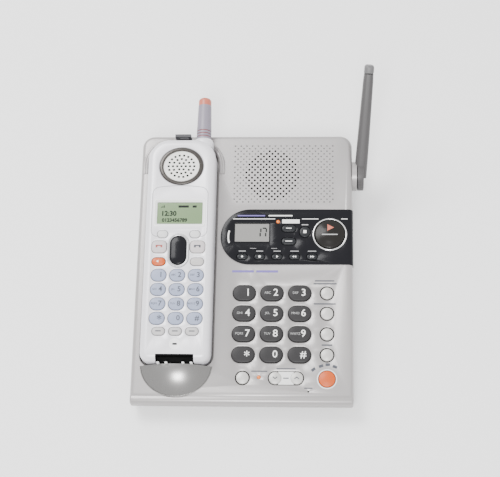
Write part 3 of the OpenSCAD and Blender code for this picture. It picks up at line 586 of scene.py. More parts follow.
def speaker_wells(bm):
    """The round field of deep holes, and the shallow dimples that run on to the corners."""
    for i in range(20):
        for j in range(12):
            for half in (0, 0.5):
                x = GRILLE_AT[0] + (i - 9 + half) * HOLE_PITCH
                s = GRILLE_AT[1] + (j - 5 + half) * HOLE_PITCH
                if not (-10.7 < x < BASE_W / 2 - 5.2 and 164.6 < s < FACE_LEN - 9):
                    continue
                deep = math.hypot(x - GRILLE_AT[0], s - GRILLE_AT[1]) < GRILLE_R + 0.2
                outline = disc(1.05 if deep else 0.9, 8)
                build_up(outline, [(0.12, -0.1), (0, -2.0)] if deep else [(0.25, -0.22), (0.2, -0.1)])
                # Deep holes get black floors and walls, and dimples dark grey floors: painted shade in the
                # hollows.
                for shape in outline.faces:
                    low = min(v.co.z for v in shape.verts)
                    shape.material_index = 0 if low > -0.12 or not deep and low > -0.23 else 1 if deep else 3
                join(bm, outline, at(x, s))


def jack_openings(bm):
    """Opens the rear wall in front of the line jack and the power jack."""
    rear = face().inverted() @ desk(0, BASE_D, 0)
    point, normal = rear.translation, (rear.to_3x3() @ Vector((0, 1, 0))).normalized()
    bm.normal_update()
    walls = [shape for shape in bm.faces if shape.normal.dot(normal) > 0.999]
    bmesh.ops.delete(bm, geom=walls, context="FACES_ONLY")
    for outline, x in ((flat(12.0, 11.2, 0.8, 3), LINE_JACK_X), (disc(4.4, 32), POWER_JACK_X)):
        # The opening walls take the black slot: painted shade inside the jack openings.
        well(outline, 1.9, 0.3)
        floor = [shape for shape in outline.faces if max(v.co.z for v in shape.verts) < -1.5]
        bmesh.ops.delete(outline, geom=floor, context="FACES_ONLY")
        turned = rotated(-90, "X")
        join(bm, outline, face().inverted() @ desk(x, BASE_D, JACK_Z) @ turned)
    close_flat(bm, point, normal)


def base_cover():
    bm = cover_body()
    jack_openings(bm)
    join(bm, cradle_well(), at(HANDSET_X, TAIL_S + HANDSET_LEN / 2))
    key_wells(bm)
    speaker_wells(bm)
    volume = flat(2 * VOLUME_HALF + 11.9, 11.7, 50, 12)
    # The volume well's chamfer and floor are painted black: painted shade in the gap round the rocker.
    join(bm, well(volume, 2.2, lip_slot=1), at(VOLUME_X, BOTTOM_ROW_S))
    join(bm, well(disc(0.95, 12), 1.5, 0.2), at(DIAL_X + 53, 5.6))
    join(bm, well(disc(1.9, 20), 1.0, 0.3), at(DIAL_X + 13.2, BOTTOM_ROW_S + 0.7))
    recess = flat(2 * PANEL_R - 3, 2 * PANEL_R - 3, 50, 12)
    for v in recess.verts:
        if v.co.x > 0:
            v.co.x = BASE_W / 2 - RIM_R - 2 - PANEL_X
    join(bm, well(recess, 2.4, 0.3), at(PANEL_X, PANEL_S))
    close_flat(bm)
    names = ("silver_casing", "painted_shade_black", "light_plastic", "painted_shade_grey")
    cover = finish_piece("base_casing", bm, face(), chosen(*names))
    return settle(cover, "base", "silver_casing", "base_top_cover")


def front_lip():
    """Bullnose ledge along the front of the base."""
    bm = build_up(flat(9, 11, 4, 8), [(0, BASE_W - 0.3)])
    bm.normal_update()
    ends = [shape for shape in bm.faces if abs(shape.normal.z) > 0.99]
    rims = [e for shape in ends for e in shape.edges]
    bmesh.ops.bevel(bm, geom=rims, offset=1.8, affect="EDGES", segments=4, profile=0.5, material=-1)
    turned = rotated(90, "Y") @ rotated(90, "Z")
    place = desk(-BASE_W / 2 + 0.15, 0, FRONT_H - 6) @ turned
    return settle(finish_piece("front_lip", bm, place, chosen("silver_casing")), "base", "silver_casing")


def smooth_step(low, high, value):
    way = min(1.0, max(0.0, (value - low) / (high - low)))
    return way * way * (3 - 2 * way)


def cradle_rim():
    """Raised rim round the handset's head, fading towards the keys and dipped under the stub antenna."""
    bm = cradle_outline(DOCK_GAP + 5)
    ridge = [(0.7, 0.0), (0.25, -0.35), (0.25, 0.35), (1.2, 0.15), (0.5, -0.3), (0.3, -0.6), (0, -2.5)]
    build_up(bm, [(0, 0.2), *round_in(1.2, 1.2), *ridge])
    around = bm.verts[:] + bm.edges[:] + bm.faces[:]
    cut_y = RIM_FROM_S - TAIL_S - HANDSET_LEN / 2
    bmesh.ops.bisect_plane(bm, geom=around, plane_co=(0, cut_y, 0), plane_no=(0, 1, 0), clear_inner=True)
    floor = [shape for shape in bm.faces if shape.calc_area() > 900]
    bmesh.ops.delete(bm, geom=floor, context="FACES")
    for v in bm.verts:
        fade = 0.15 + 0.85 * smooth_step(cut_y, cut_y + 24, v.co.y)
        dip = 1 - 0.85 * (1 - smooth_step(8.5, 12, abs(v.co.x - 17))) * smooth_step(80, 88, v.co.y)
        if v.co.z > 0.05:
            v.co.z = 0.05 + v.co.z * 2.8 * fade * dip
    place = face(HANDSET_X, TAIL_S + HANDSET_LEN / 2)
    rim = finish_piece("cradle_rim", bm, place, chosen("silver_casing"), closed=False)
    return settle(rim, "base", "silver_casing")


def cradle_dome():
    """Low satin dome that the handset's tail stands against."""
    bm = disc(DOME_R, 72)
    steps = [(0, 4.2), (0.25, 0.3), (0.3, 0.05), (0.3, -0.3), *crown(26, 9.2, 12)]
    build_up(bm, steps)
    around = bm.verts[:] + bm.edges[:] + bm.faces[:]
    behind = (0, -DOCK_GAP, 0)
    cut = bmesh.ops.bisect_plane(bm, geom=around, plane_co=behind, plane_no=(0, 1, 0), clear_outer=True)
    bmesh.ops.contextual_create(bm, geom=only(bmesh.types.BMEdge, cut["geom_cut"]))
    bm.transform(Matrix.Diagonal((1.03, 0.93, 1, 1)))
    dome = finish_piece("cradle_dome", bm, face(HANDSET_X, TAIL_S, -4), chosen("dome_satin"))
    return settle(dome, "base", "silver_casing")


def charging_ribs():
    """Four pale ribs on the pocket's front wall, in front of the handset's notch."""
    bm = bmesh.new()
    for x in RIB_XS:
        rib = build_up(flat(2.0, 1.1), [(0, RIB_H), *round_in(0.3, 0.4, 3)])
        add(bm, rib, at(HANDSET_X + x, TAIL_S - 1.05, -SEAT_DEPTH))
    ribs = finish_piece("charging_ribs", bm, face(), chosen("light_plastic"))
    return settle(ribs, "base", "light_plastic")


def base_printing():
    """Short plain bars where the casing carries its small captions."""
    bm = bmesh.new()
    low, high = BOTTOM_ROW_S, DIAL_S
    bars = [(ROUND_X - 2, high + 3 * DIAL_DS + 10.8, 16, 1.1),
            (ROUND_X - 1.6, high + 3 * DIAL_DS + 8.3, 19, 1.1),
            (ROUND_X - 2, high + 2 * DIAL_DS + 8.4, 18, 1.1),
            (ROUND_X, high + 8.4, 8.5, 1.1),
            (DIAL_X + 13.5, low + 5.6, 13, 0.9),
            (VOLUME_X, low + 7.8, 15.5, 0.9),
            (DIAL_X + 53, 8.4, 6.5, 0.9)]
    for x, s, w, l in bars:
        add(bm, bar_mark(w, l), at(x, s))
    for x, s, turn in ((-11, 7.8, 40), (-4.8, 10.7, 20), (0.6, 11.9, 0), (6.3, 10.2, -20)):
        add(bm, bar_mark(3.6, 2.2), at(ROUND_X + x, low - 0.5 + s, 0, turn))
    for x, w in ((PANEL_X - 5, 18), (PANEL_X + 15, 18)):
        add(bm, bar_mark(w, 1.9), at(x, PANEL_S - PANEL_R - 6), 1)
    printing = finish_piece("base_printing", bm, face(0, 0, -0.03), chosen("grey_print", "lilac_print"))
    return settle(printing, "base", "dark_key")


def lamp_lenses():
    pipe = [(0, 9.0), *round_in(1.2, 0.5, 3)]
    bm = bmesh.new()
    add(bm, build_up(disc(1.5, 24), pipe), at(DIAL_X + 13.2, BOTTOM_ROW_S + 0.7, -9.0))
    add(bm, build_up(disc(1.5, 24), pipe), at(PANEL_X + 23.5, PANEL_S + 13.3, -8.4))
    lenses = finish_piece("lamp_lens_pair", bm, face(), chosen("lamp_orange"))
    return settle(lenses, "base", "lamp_orange", "lamp_lenses")


# ---- Base: answering panel ----


def small_key_spots():
    return [(PANEL_X - 6 + place * 14.5, PANEL_S - 17.7) for place in range(5)]


def panel_plate():
    """Gloss plate with a round left end, bent down over the right edge of the casing."""
    end_x = BASE_W / 2 - RIM_R - PANEL_X
    bm = flat(2 * PANEL_R, 2 * PANEL_R, 50, 16)
    for v in bm.verts:
        if v.co.x > 0:
            v.co.x = end_x
    bm.transform(at(PANEL_X, PANEL_S))
    bmesh.ops.delete(bm, geom=bm.faces[:], context="FACES_ONLY")

    def opening(outline, x, s):
        bmesh.ops.delete(outline, geom=outline.faces[:], context="FACES_ONLY")
        join(bm, outline, at(x, s))

    for x, s in small_key_spots():
        opening(flat(9.6, 5.4, 50, 8), x, s)
    opening(flat(12.8, 6.8, 50, 8), PANEL_X + 32.6, PANEL_S + 7.2)
    opening(flat(12.8, 6.8, 50, 8), PANEL_X + 32.6, PANEL_S - 4.2)
    opening(flat(9.8, 10.4, 50, 8), PANEL_X + 46, PANEL_S + 4.2)
    opening(disc(MESSAGE_R + 1.2, 64), *MESSAGE_AT)
    opening(disc(1.6, 20), PANEL_X + 23.5, PANEL_S + 13.3)
    opening(flat(*WINDOW, 0.6, 3), *WINDOW_AT)
    bmesh.ops.triangle_fill(bm, use_beauty=True, use_dissolve=False, edges=bm.edges[:], normal=(0, 0, 1))
    edge_x = BASE_W / 2 - RIM_R
    border = [e for e in bm.edges if all(v.co.x > edge_x - 0.01 for v in e.verts)]
    ends = list({v for e in border for v in e.verts})
    centre = (edge_x, 0, -RIM_R - PANEL_RISE)
    quarter = math.radians(90)
    bend = bmesh.ops.spin(bm, geom=ends + border, cent=centre, axis=(0, 1, 0), angle=quarter, steps=8)
    low = only(bmesh.types.BMEdge, bend["geom_last"])
    skirt = bmesh.ops.extrude_edge_only(bm, edges=low)["geom"]
    bmesh.ops.translate(bm, vec=(0, 0, -4.5), verts=only(bmesh.types.BMVert, skirt))
    bmesh.ops.recalc_face_normals(bm, faces=bm.faces)
    bm.normal_update()
    if sum(shape.normal.z * shape.calc_area() for shape in bm.faces) < 0:
        bmesh.ops.reverse_faces(bm, faces=bm.faces)
    plate = finish_piece("answering_plate", bm, face(0, 0, PANEL_RISE), chosen("black_gloss"), closed=False)
    thick = plate.modifiers.new("thickness", "SOLIDIFY")
    thick.thickness = 1.1 * MM
    thick.offset = -1
    edges = plate.modifiers.new("edges", "BEVEL")
    edges.width = 0.16 * MM
    edges.segments = 2
    edges.limit_method = "ANGLE"
    edges.angle_limit = math.radians(50)
    return settle(plate, "base", "black_gloss", "answering_panel")


def panel_printing():
    """Rule, frames and key marks printed on the panel."""
    bm = bmesh.new()
    rule_s = PANEL_S + 15.8
    left, right = MESSAGE_AT[0] - 9.5, MESSAGE_AT[0] + 9.5
    for start, end in ((-10, PANEL_X + 21), (PANEL_X + 43.5, left), (right, BASE_W / 2 - 4.2)):
        add(bm, bar_mark(end - start, 0.55), at((start + end) / 2, rule_s))
    add(bm, bar_mark(14.5, 3.4), at(PANEL_X + 34.2, PANEL_S + 13.6))
    for index, (x, s) in enumerate(small_key_spots()):
        add(bm, bar_mark(5.8 if index < 3 else 7.0, 0.6), at(x, s + 4.9), 2)
    for x in (PANEL_X + 3, PANEL_X + 20.5):
        add(bm, bar_mark(5, 0.3), at(x, PANEL_S - 10.4), 2)
    add(bm, bar_mark(5.5, 0.8), at(PANEL_X + 46, PANEL_S + 10.6), 2)
    for start, length, number in ((-10.5, 23, 1), (15.5, 20, 0)):
        add(bm, bar_mark(length, 1.0), at(PANEL_X + start + length / 2, PANEL_S + 18.7), number)
    add(bm, crescent(), at(PANEL_X, PANEL_S))
    names = ("white_print", "lilac_print", "pale_print")
    printing = finish_piece("panel_printing", bm, face(0, 0, PANEL_RISE - 0.03), chosen(*names))
    return settle(printing, "base", "light_plastic")


def crescent():
    """Slim arc along the panel's round left end."""
    bm = bmesh.new()
    ends = [bm.verts.new((-17.4, 0, 0)), bm.verts.new((-18.6, 0, 0))]
    line = bm.edges.new(ends)
    bmesh.ops.spin(bm, geom=ends + [line], cent=(0, 0, 0), axis=(0, 0, 1), angle=math.radians(35), steps=10)
    bmesh.ops.rotate(bm, cent=(0, 0, 0), matrix=Matrix.Rotation(math.radians(-17), 3, "Z"), verts=bm.verts)
    raised = bmesh.ops.extrude_face_region(bm, geom=bm.faces[:])["geom"]
    bmesh.ops.translate(bm, vec=(0, 0, 0.08), verts=only(bmesh.types.BMVert, raised))
    return bm


def display_digit(bm, shown, x, y, z, h, slot):
    """A one or a seven of a segment display, leaning a little, from upright and level bars."""
    w = 0.5 * h
    lit = {"1": "bc", "7": "abc"}[shown]
    spots = {"a": (0, h / 2, 1), "b": (w / 2, h / 4, 0), "c": (w / 2, -h / 4, 0)}
    for name in lit:
        dx, dy, level = spots[name]
        size = (w * 0.8, h * 0.15) if level else (h * 0.15, h * 0.42)
        add(bm, bar_mark(*size, 0.05), at(x + dx + 0.14 * dy, y + dy, z), slot)


def base_display():
    """Grey liquid-crystal window with two digits."""
    bm = build_up(flat(WINDOW[0] - 0.1, WINDOW[1] - 0.1), [(0, 1.2), (0.6, 0.0), (0.25, -0.35), (0, -0.15)])
    for shape in bm.faces:
        shape.material_index = 0 if shape.calc_area() > 200 else 1
    display_digit(bm, "1", 5.2, 0.2, 0.69, 7.6, 2)
    display_digit(bm, "7", 9.8, 0.2, 0.69, 7.6, 2)
    names = ("display_glass", "black_gloss", "lcd_segment")
    glass = finish_piece("base_display_glass", bm, face(*WINDOW_AT, PANEL_RISE - 1.1), chosen(*names))
    return settle(glass, "base", "display_glass", "base_display_window")


def message_ring():
    steps = [(0, 1.1), *round_in(0.9, 0.7, 4), (0.25, -0.1), (0.25, -0.35), (0, -1.6)]
    bm = build_up(disc(14.4, 72), steps)
    for shape in bm.faces:
        # Inside the chrome, the gap round the message key is painted black: painted shade.
        shape.material_index = 1 if math.hypot(*shape.calc_center_median().xy) < 12.9 else 0
    place = face(*MESSAGE_AT, PANEL_RISE - 0.8)
    ring = finish_piece("message_ring", bm, place, chosen("chrome", "painted_shade_black"))
    return settle(ring, "base", "silver_key")


# ---- Base: keys ----


def key_cap(w, l, r, rise, edge=1.1, middle=0.35):
    """A key on its flange: an upright wall, a rounded edge and a slightly crowned top."""
    half = min(w, l) / 2
    bottom = FLANGE_H - 1
    wall_top = rise - 0.75 - middle
    outline = disc(half + 1, 48) if w == l and r >= half else flat(w + 2, l + 2, r + 1, 10)
    wall = [(0, 1.0), (1.0, 0.0), (0, wall_top - FLANGE_H)]
    steps = [*wall, *round_in(edge, 0.75), *crown(half - edge - 0.8, middle)]
    build_up(outline, steps)
    outline.transform(at(0, 0, bottom))
    return outline


def stem(bm):
    """The plunger under a base key's flange."""
    add(bm, build_up(disc(STEM_R, 16), [(0, FLANGE_H - STEM_LOW)]), at(0, 0, STEM_LOW))


def base_key(node, x, s, cap, names, marks=(), slot="dark_key"):
    """Finishes a base key with its marks; each mark is a mesh, its place and its material's number."""
    bm = cap
    for mark, place, number in marks:
        add(bm, mark, place, number)
    stem(bm)
    piece = finish_piece(node + "_cap", bm, face(x, s), chosen(*names))
    return settle(piece, node + "_body", slot, node)


def dial_keys():
    letters = ["", "ABC", "DEF", "GHI", "JKL", "MNO", "PQRS", "TUV", "WXYZ", "", "", ""]
    shown = ["1", "2", "3", "4", "5", "6", "7", "8", "9", "*", "0", "#"]
    names = ["1", "2", "3", "4", "5", "6", "7", "8", "9", "star", "0", "hash"]
    for index, name in enumerate(names):
        x = DIAL_X + index % 3 * DIAL_DX
        s = DIAL_S + (3 - index // 3) * DIAL_DS
        top = KEY_RISE - 0.02
        right = 3.2
        drop = -1.6 if shown[index] == "*" else 0
        size = 10.5 if shown[index] == "*" else 8.4
        marks = [(lettering(shown[index], size, 0.07), at(right, drop, top), 1)]
        if letters[index]:
            marks.append((lettering(letters[index], 2.8), at(-3.4, -0.1, top), 2))
        cap = key_cap(18.6, 13.3, 6.65, KEY_RISE)
        base_key("dial_key_" + name, x, s, cap, ["dark_key", "white_print", "pale_print"], marks)


def round_keys():
    spots = [("locator_key", ROUND_X, DIAL_S + 3 * DIAL_DS),
             ("call_wait_key", ROUND_X, DIAL_S + 2 * DIAL_DS),
             ("redial_key", ROUND_X, DIAL_S + DIAL_DS),
             ("conference_key", ROUND_X, DIAL_S),
             ("hold_key", DIAL_X, BOTTOM_ROW_S)]
    for node, x, s in spots:
        cap = key_cap(10.2, 10.2, 5.1, KEY_RISE - 0.2, 1.3, 0.5)
        base_key(node, x, s, cap, ["silver_key"], slot="silver_key")
    cap = key_cap(13.4, 13.4, 6.7, KEY_RISE, 1.5, 0.6)
    base_key("speakerphone_key", ROUND_X, BOTTOM_ROW_S - 0.5, cap, ["orange_key"], slot="orange_key")


def volume_rocker():
    bm = bmesh.new()
    for side in (-1, 1):
        add(bm, key_cap(10.2, 10.2, 5.1, KEY_RISE - 0.2, 1.3, 0.4), at(side * VOLUME_HALF, 0))
        for turn in (-1, 1):
            middle = side * VOLUME_HALF + turn * 0.85
            add(bm, bar_mark(2.6, 0.75), at(middle, 0, KEY_RISE - 0.2, turn * side * -40), 1)
    bridge = build_up(flat(2 * VOLUME_HALF - 5, 10.6), [(0, 3.9), *round_in(0.4, 0.3)])
    add(bm, bridge, at(0, 0, -4.0), 2)
    add(bm, bar_mark(4.6, 0.9), at(0, 0, 0.18), 1)
    add(bm, build_up(disc(1, 24), [(0, 8)]), at(0, -4, -4.2) @ rotated(-90, "X"))
    names = ("silver_key", "grey_print", "light_plastic")
    rocker = finish_piece("volume_rocker", bm, face(VOLUME_X, BOTTOM_ROW_S), chosen(*names))
    return settle(rocker, "volume_body", "silver_key", "volume_key")


def panel_keys():
    low_top, high_top = 1.08, 1.46
    finish = ["panel_key_grey", "white_print"]

    def mark_pair(turn):
        return [(arrow_mark(1.0), at(0.9 * side, 0, low_top, turn), 1) for side in (-1, 1)]

    names = ["memo_key", "greeting_record_key", "greeting_check_key", "repeat_key", "skip_key"]
    marks = [[(disc_mark(0.8), at(0, 0, low_top), 1)],
             [(disc_mark(1.0), at(0, 0, low_top), 1)],
             [(arrow_mark(1.2), at(0, 0, low_top), 1)],
             mark_pair(180),
             mark_pair(0)]
    for (x, s), node, mark in zip(small_key_spots(), names, marks):
        base_key(node, x, s, key_cap(8.8, 4.6, 2.3, 1.1, 0.6, 0.15), finish, mark, "black_gloss")
    for node, x, s, w, l, r, bar in (("answer_on_key", 32.6, 7.2, 12, 6, 3, (4.6, 0.6)),
                                     ("erase_key", 32.6, -4.2, 12, 6, 3, (5.6, 0.6)),
                                     ("stop_key", 46, 4.2, 9, 9.6, 4.5, (2.6, 2.6))):
        cap = key_cap(w, l, r, 1.5, 0.8, 0.25)
        mark = [(bar_mark(*bar), at(0, 0, high_top), 1)]
        base_key(node, PANEL_X + x, PANEL_S + s, cap, finish, mark, "black_gloss")
    cap = key_cap(2 * MESSAGE_R - 0.2, 2 * MESSAGE_R - 0.2, MESSAGE_R, 4.4, 1.4, 2.2)
    marks = [(arrow_mark(3.6, 0.5), at(-0.2, 5.0, 3.55) @ rotated(-12, "X"), 1),
             (bar_mark(13, 0.9), at(0, -1.2, 4.34), 2)]
    names = ["message_black", "lamp_salmon", "pale_print"]
    base_key("message_key", *MESSAGE_AT, cap, names, marks, "black_gloss")


# ---- Antennas ----


def base_antenna():
    """Tapering blade with a lighter tip, on its pivot disc."""
    pivot = Matrix.Translation(Vector(joint("antenna_swivel")["pos_m"])) @ Matrix.Scale(MM, 4)
    swung = pivot @ rotated(ANTENNA_LEAN, "X")
    blade = build_up(flat(10.4, 13, 4.2, 6), [(0, 12), (0.25, 26), (0.35, 24), (0.35, 21), (0.35, 6.0)])
    tip = build_up(flat(8.2, 10.4, 3.4, 6), [(0, 4.0), *round_in(1.7, 2.2, 4)])
    bm = bmesh.new()
    along = rotated(-4, "Z") @ rotated(-90, "X")
    add(bm, blade, along, 0)
    add(bm, tip, along @ at(0, 0, 90), 1)
    hub = build_up(disc(11.2, 56), [(-1.0, 0.5), (0, 4.4), *round_in(1.0, 0.7, 3)])
    add(bm, hub, rotated(90, "Y") @ at(0, 0, -2.8), 0)
    antenna = finish_piece("antenna_blade", bm, swung, chosen("antenna_grey", "tip_grey"))
    return settle(antenna, "antenna", "antenna_grey", "base_antenna")


def stub_place():
    return handset(STUB_X, 0, STUB_Z) @ rotated(-90, "X")


def stub_antenna():
    """Tapering stub with three grip grooves and a flared root."""
    steps = [(0, 9.5), (-1.5, 0), (0, 1.6), (0.25, 1.2)]
    for _ in range(3):
        steps += [(0, 1.8), (0.55, 0.05), (0, 0.7), (-0.55, 0.05)]
    steps += [(0.3, 12.0), (0.35, 11.6)]
    bm = build_up(disc(5.0, 36), steps)
    for shape in bm.faces:
        middle = shape.calc_center_median()
        if math.hypot(middle.x, middle.y) < 6.1 and 13 < middle.z < 22 and abs(shape.normal.z) < 0.5:
            shape.material_index = 1
    root = build_up(disc(8.6, 44), [(0, 5.0), (0.5, 1.4), (0.9, 1.1), (0.9, 0.5)])
    add(bm, root, at(0, 0, 4.2), 2)
    names = ("stub_grey", "red_print", "handset_silver")
    stub = finish_piece("stub_antenna", bm, stub_place() @ at(0, 0, -9.3), chosen(*names))
    return settle(stub, "handset", "stub_grey", "handset_antenna")


def stub_lamp():
    bm = build_up(disc(5.45, 36), [(0, 4.6), *round_in(2.6, 2.7, 6)])
    lamp = finish_piece("stub_lamp", bm, stub_place() @ at(0, 0, 34.0), chosen("lamp_salmon"))
    return settle(lamp, "handset", "lamp_salmon", "handset_antenna_lamp")


# ---- Handset ----

SPLIT_Z = 13.0
EAR_T = 25.2
EAR_R = 15.0
EAR_RING_R = 18.7
EAR_SQUASH = 0.9
LCD_T = 66.7
LCD = (38.0, 19.2)
NAV_T = 99.6
PAD_T = 120.8
PAD_DX = 15.3
PAD_DT = 12.1
PAD_RISE = 1.2
FUNCTION_T = 167.8
CAP_LOW = -4.1
STUB_X = 17.0
STUB_Z = 14.0
TAIL_ROLL = 5.7
NOTCH_HALF = 15.4
MIC_T = 178.0
FUNCTION_DX = 13.6


def keypad_caps():
    """Plan of every cap on the handset: its spot, size and corner radius, by kind."""
    columns = (-1, 0, 1)
    pad = [(column * PAD_DX, PAD_T + row * PAD_DT, 12.5, 10.2, 50) for row in range(4) for column in columns]
    function = [(column * FUNCTION_DX, FUNCTION_T, 10.4, 6.6, 50) for column in columns]
    soft = [(side * 13.4, 85.5, 8.6, 6.2, 50) for side in (-1, 1)]
    menu = [(15.8, 109.2, 11.0, 6.6, 50)]
    return pad, function, soft, menu


HARD_KEYS = {
    "talk_key": (-15.8, 96.5, 12.2, 10.4, 3.5),
    "off_key": (15.8, 96.5, 12.2, 10.4, 3.5),
    "handset_speaker_key": (-15.8, 109.2, 11.0, 6.6, 50),
    "navigator_key": (0, NAV_T, 13.0, 24.4, 50),
}


def ear_well():
    outline = disc(EAR_RING_R + 1.0, 64)
    build_up(outline, [(0.6, -0.25), (0.4, -0.5), (0, -2.2)])
    outline.transform(Matrix.Diagonal((1, EAR_SQUASH, 1, 1)))
    return outline


def handset_front():
    """Front shell: a bar with rolled edges and a well for each key, the display and the earpiece."""
    bm = cradle_outline(0)
    build_up(bm, [(0, HANDSET_THICK - SPLIT_Z)])
    bm.normal_update()
    lid = next(shape for shape in bm.faces if shape.normal.z > 0.99 and shape.calc_center_median().z > 1)
    rim = list(lid.edges)
    bmesh.ops.bevel(bm, geom=rim, offset=TAIL_ROLL, affect="EDGES", segments=9, profile=0.5, material=-1)
    cut_tail_notch(bm)
    bm.normal_update()
    top_z = HANDSET_THICK - SPLIT_Z
    high = [shape for shape in bm.faces if shape.calc_center_median().z > top_z - 0.01]
    lid = max(high, key=lambda shape: shape.calc_area())
    bmesh.ops.delete(bm, geom=[lid], context="FACES_ONLY")
    bm.transform(at(0, 0, -top_z))

    def y_of(t):
        return HANDSET_LEN / 2 - t

    join(bm, ear_well(), at(0, y_of(EAR_T)))
    lcd = flat(LCD[0] + 5.6, LCD[1] + 5.6, 3.3, 5)
    build_up(lcd, [(0.35, 0.45), (0.7, 0.0), (1.75, -1.5), (0, -0.7)])
    for shape in lcd.faces:
        shape.material_index = 2
    join(bm, lcd, at(0, y_of(LCD_T)))
    # Key wells take black floors and walls: painted shade in the gaps round the caps.
    for group in keypad_caps():
        for x, t, w, l, r in group:
            join(bm, well(flat(w + 1.5, l + 1.5, r, 8), 2.0, 0.35), at(x, y_of(t)))
    for name, (x, t, w, l, r) in HARD_KEYS.items():
        if name == "navigator_key":
            nav = flat(w + 5.4, l + 5.4, 50, 12)
            build_up(nav, [(0.4, 0.75), (0.9, 0.15), (0.95, -0.5), (0, -2.6)])
            for shape in nav.faces:
                # Deeper faces are painted black as painted shade; the upper steps take the bezel finish.
                shape.material_index = 1 if min(v.co.z for v in shape.verts) < -0.5 else 3
            join(bm, nav, at(x, y_of(t)))
        else:
            grow = 1.9 if r > 10 else 1.6
            outline = flat(w + grow, l + grow, 50 if r > 10 else 4.2, 8)
            join(bm, well(outline, 2.0, 0.4, lip_slot=2), at(x, y_of(t)))
    dish = disc(4.6, 28)
    build_up(dish, [(0.5, -0.12), (1.2, -0.35), (1.2, -0.15)])
    for shape in dish.faces:
        shape.material_index = 2
    join(bm, dish, at(0, y_of(MIC_T)))
    close_flat(bm)
    groove(bm, y_of)
    # The microphone slot is a thin bar painted black: painted shade standing in for the hole.
    slot = build_up(flat(4.0, 1.5, 50, 6), [(0, 0.14)])
    add(bm, slot, at(0, y_of(MIC_T), -0.66), 1)
    names = ("handset_silver", "painted_shade_black", "handset_white", "nav_bezel", "groove_shade_grey")
    shell = finish_piece("handset_face", bm, handset(0, HANDSET_LEN / 2, HANDSET_THICK), chosen(*names))
    return settle(shell, "handset", "silver_casing", "handset_front_shell")


def cut_tail_notch(bm):
    """Notch through the tail, open to the front, which the charging ribs stand in; its faces and a thin floor slab
    are painted black as painted shade inside it.
    """
    end_y = -HANDSET_LEN / 2
    back_y = end_y + TAIL_ROLL
    for side in (-1, 1):
        near = [shape for shape in bm.faces if shape.calc_center_median().y < back_y]
        near += [e for shape in near for e in shape.edges] + [v for shape in near for v in shape.verts]
        place = (side * NOTCH_HALF, 0, 0)
        bmesh.ops.bisect_plane(bm, geom=list(set(near)), plane_co=place, plane_no=(1, 0, 0))
    gone = [shape for shape in bm.faces if shape.calc_center_median().y < back_y - 0.01
            and abs(shape.calc_center_median().x) < NOTCH_HALF]
    bmesh.ops.delete(bm, geom=gone, context="FACES")
    for side in (-1, 1):
        rim = [v for v in bm.verts if abs(v.co.x - side * NOTCH_HALF) < 0.01 and v.co.y < back_y + 0.01]
        rim.sort(key=lambda v: v.co.z)
        corner = bm.verts.new((side * NOTCH_HALF, back_y, 0))
        cheek = bm.faces.new([corner, *rim])
        cheek.material_index = 1
    backs = [v for v in bm.verts if abs(v.co.y - back_y) < 0.01 and abs(abs(v.co.x) - NOTCH_HALF) < 0.01]
    backs.sort(key=lambda v: math.atan2(v.co.z - 5, v.co.x))
    back = bm.faces.new(backs)
    back.material_index = 1
    floor = build_up(flat(2 * NOTCH_HALF - 0.1, TAIL_ROLL - 0.1), [(0, 0.7)])
    add(bm, floor, at(0, end_y + TAIL_ROLL / 2), 1)


def groove(bm, y_of):
    """Fine grey line round the display zone, arched at the head and open towards the keys: painted shade standing
    in for the groove.
    """
    line = flat(46.8, 43, 5.5, 8)
    line.faces.ensure_lookup_table()
    inner = line.faces[0]
    bmesh.ops.inset_region(line, faces=[inner], thickness=0.55, use_boundary=True, use_even_offset=True)
    bmesh.ops.delete(line, geom=[inner], context="FACES")
    middles = [(shape, shape.calc_center_median()) for shape in line.faces]
    low = [shape for shape, middle in middles if middle.y < -21 and abs(middle.x) < 18]
    bmesh.ops.delete(line, geom=low, context="FACES")
    edges = [e for e in line.edges if e.calc_length() > 20]
    bmesh.ops.subdivide_edges(line, edges=edges, cuts=8)
    for v in line.verts:
        if v.co.y > 12:
            v.co.y += 2.2 * (1 - (v.co.x / 23.4) ** 2)
    raised = bmesh.ops.extrude_face_region(line, geom=line.faces[:])["geom"]
    bmesh.ops.translate(line, vec=(0, 0, 0.06), verts=only(bmesh.types.BMVert, raised))
    add(bm, line, at(0, y_of(66.3), -0.02), 4)


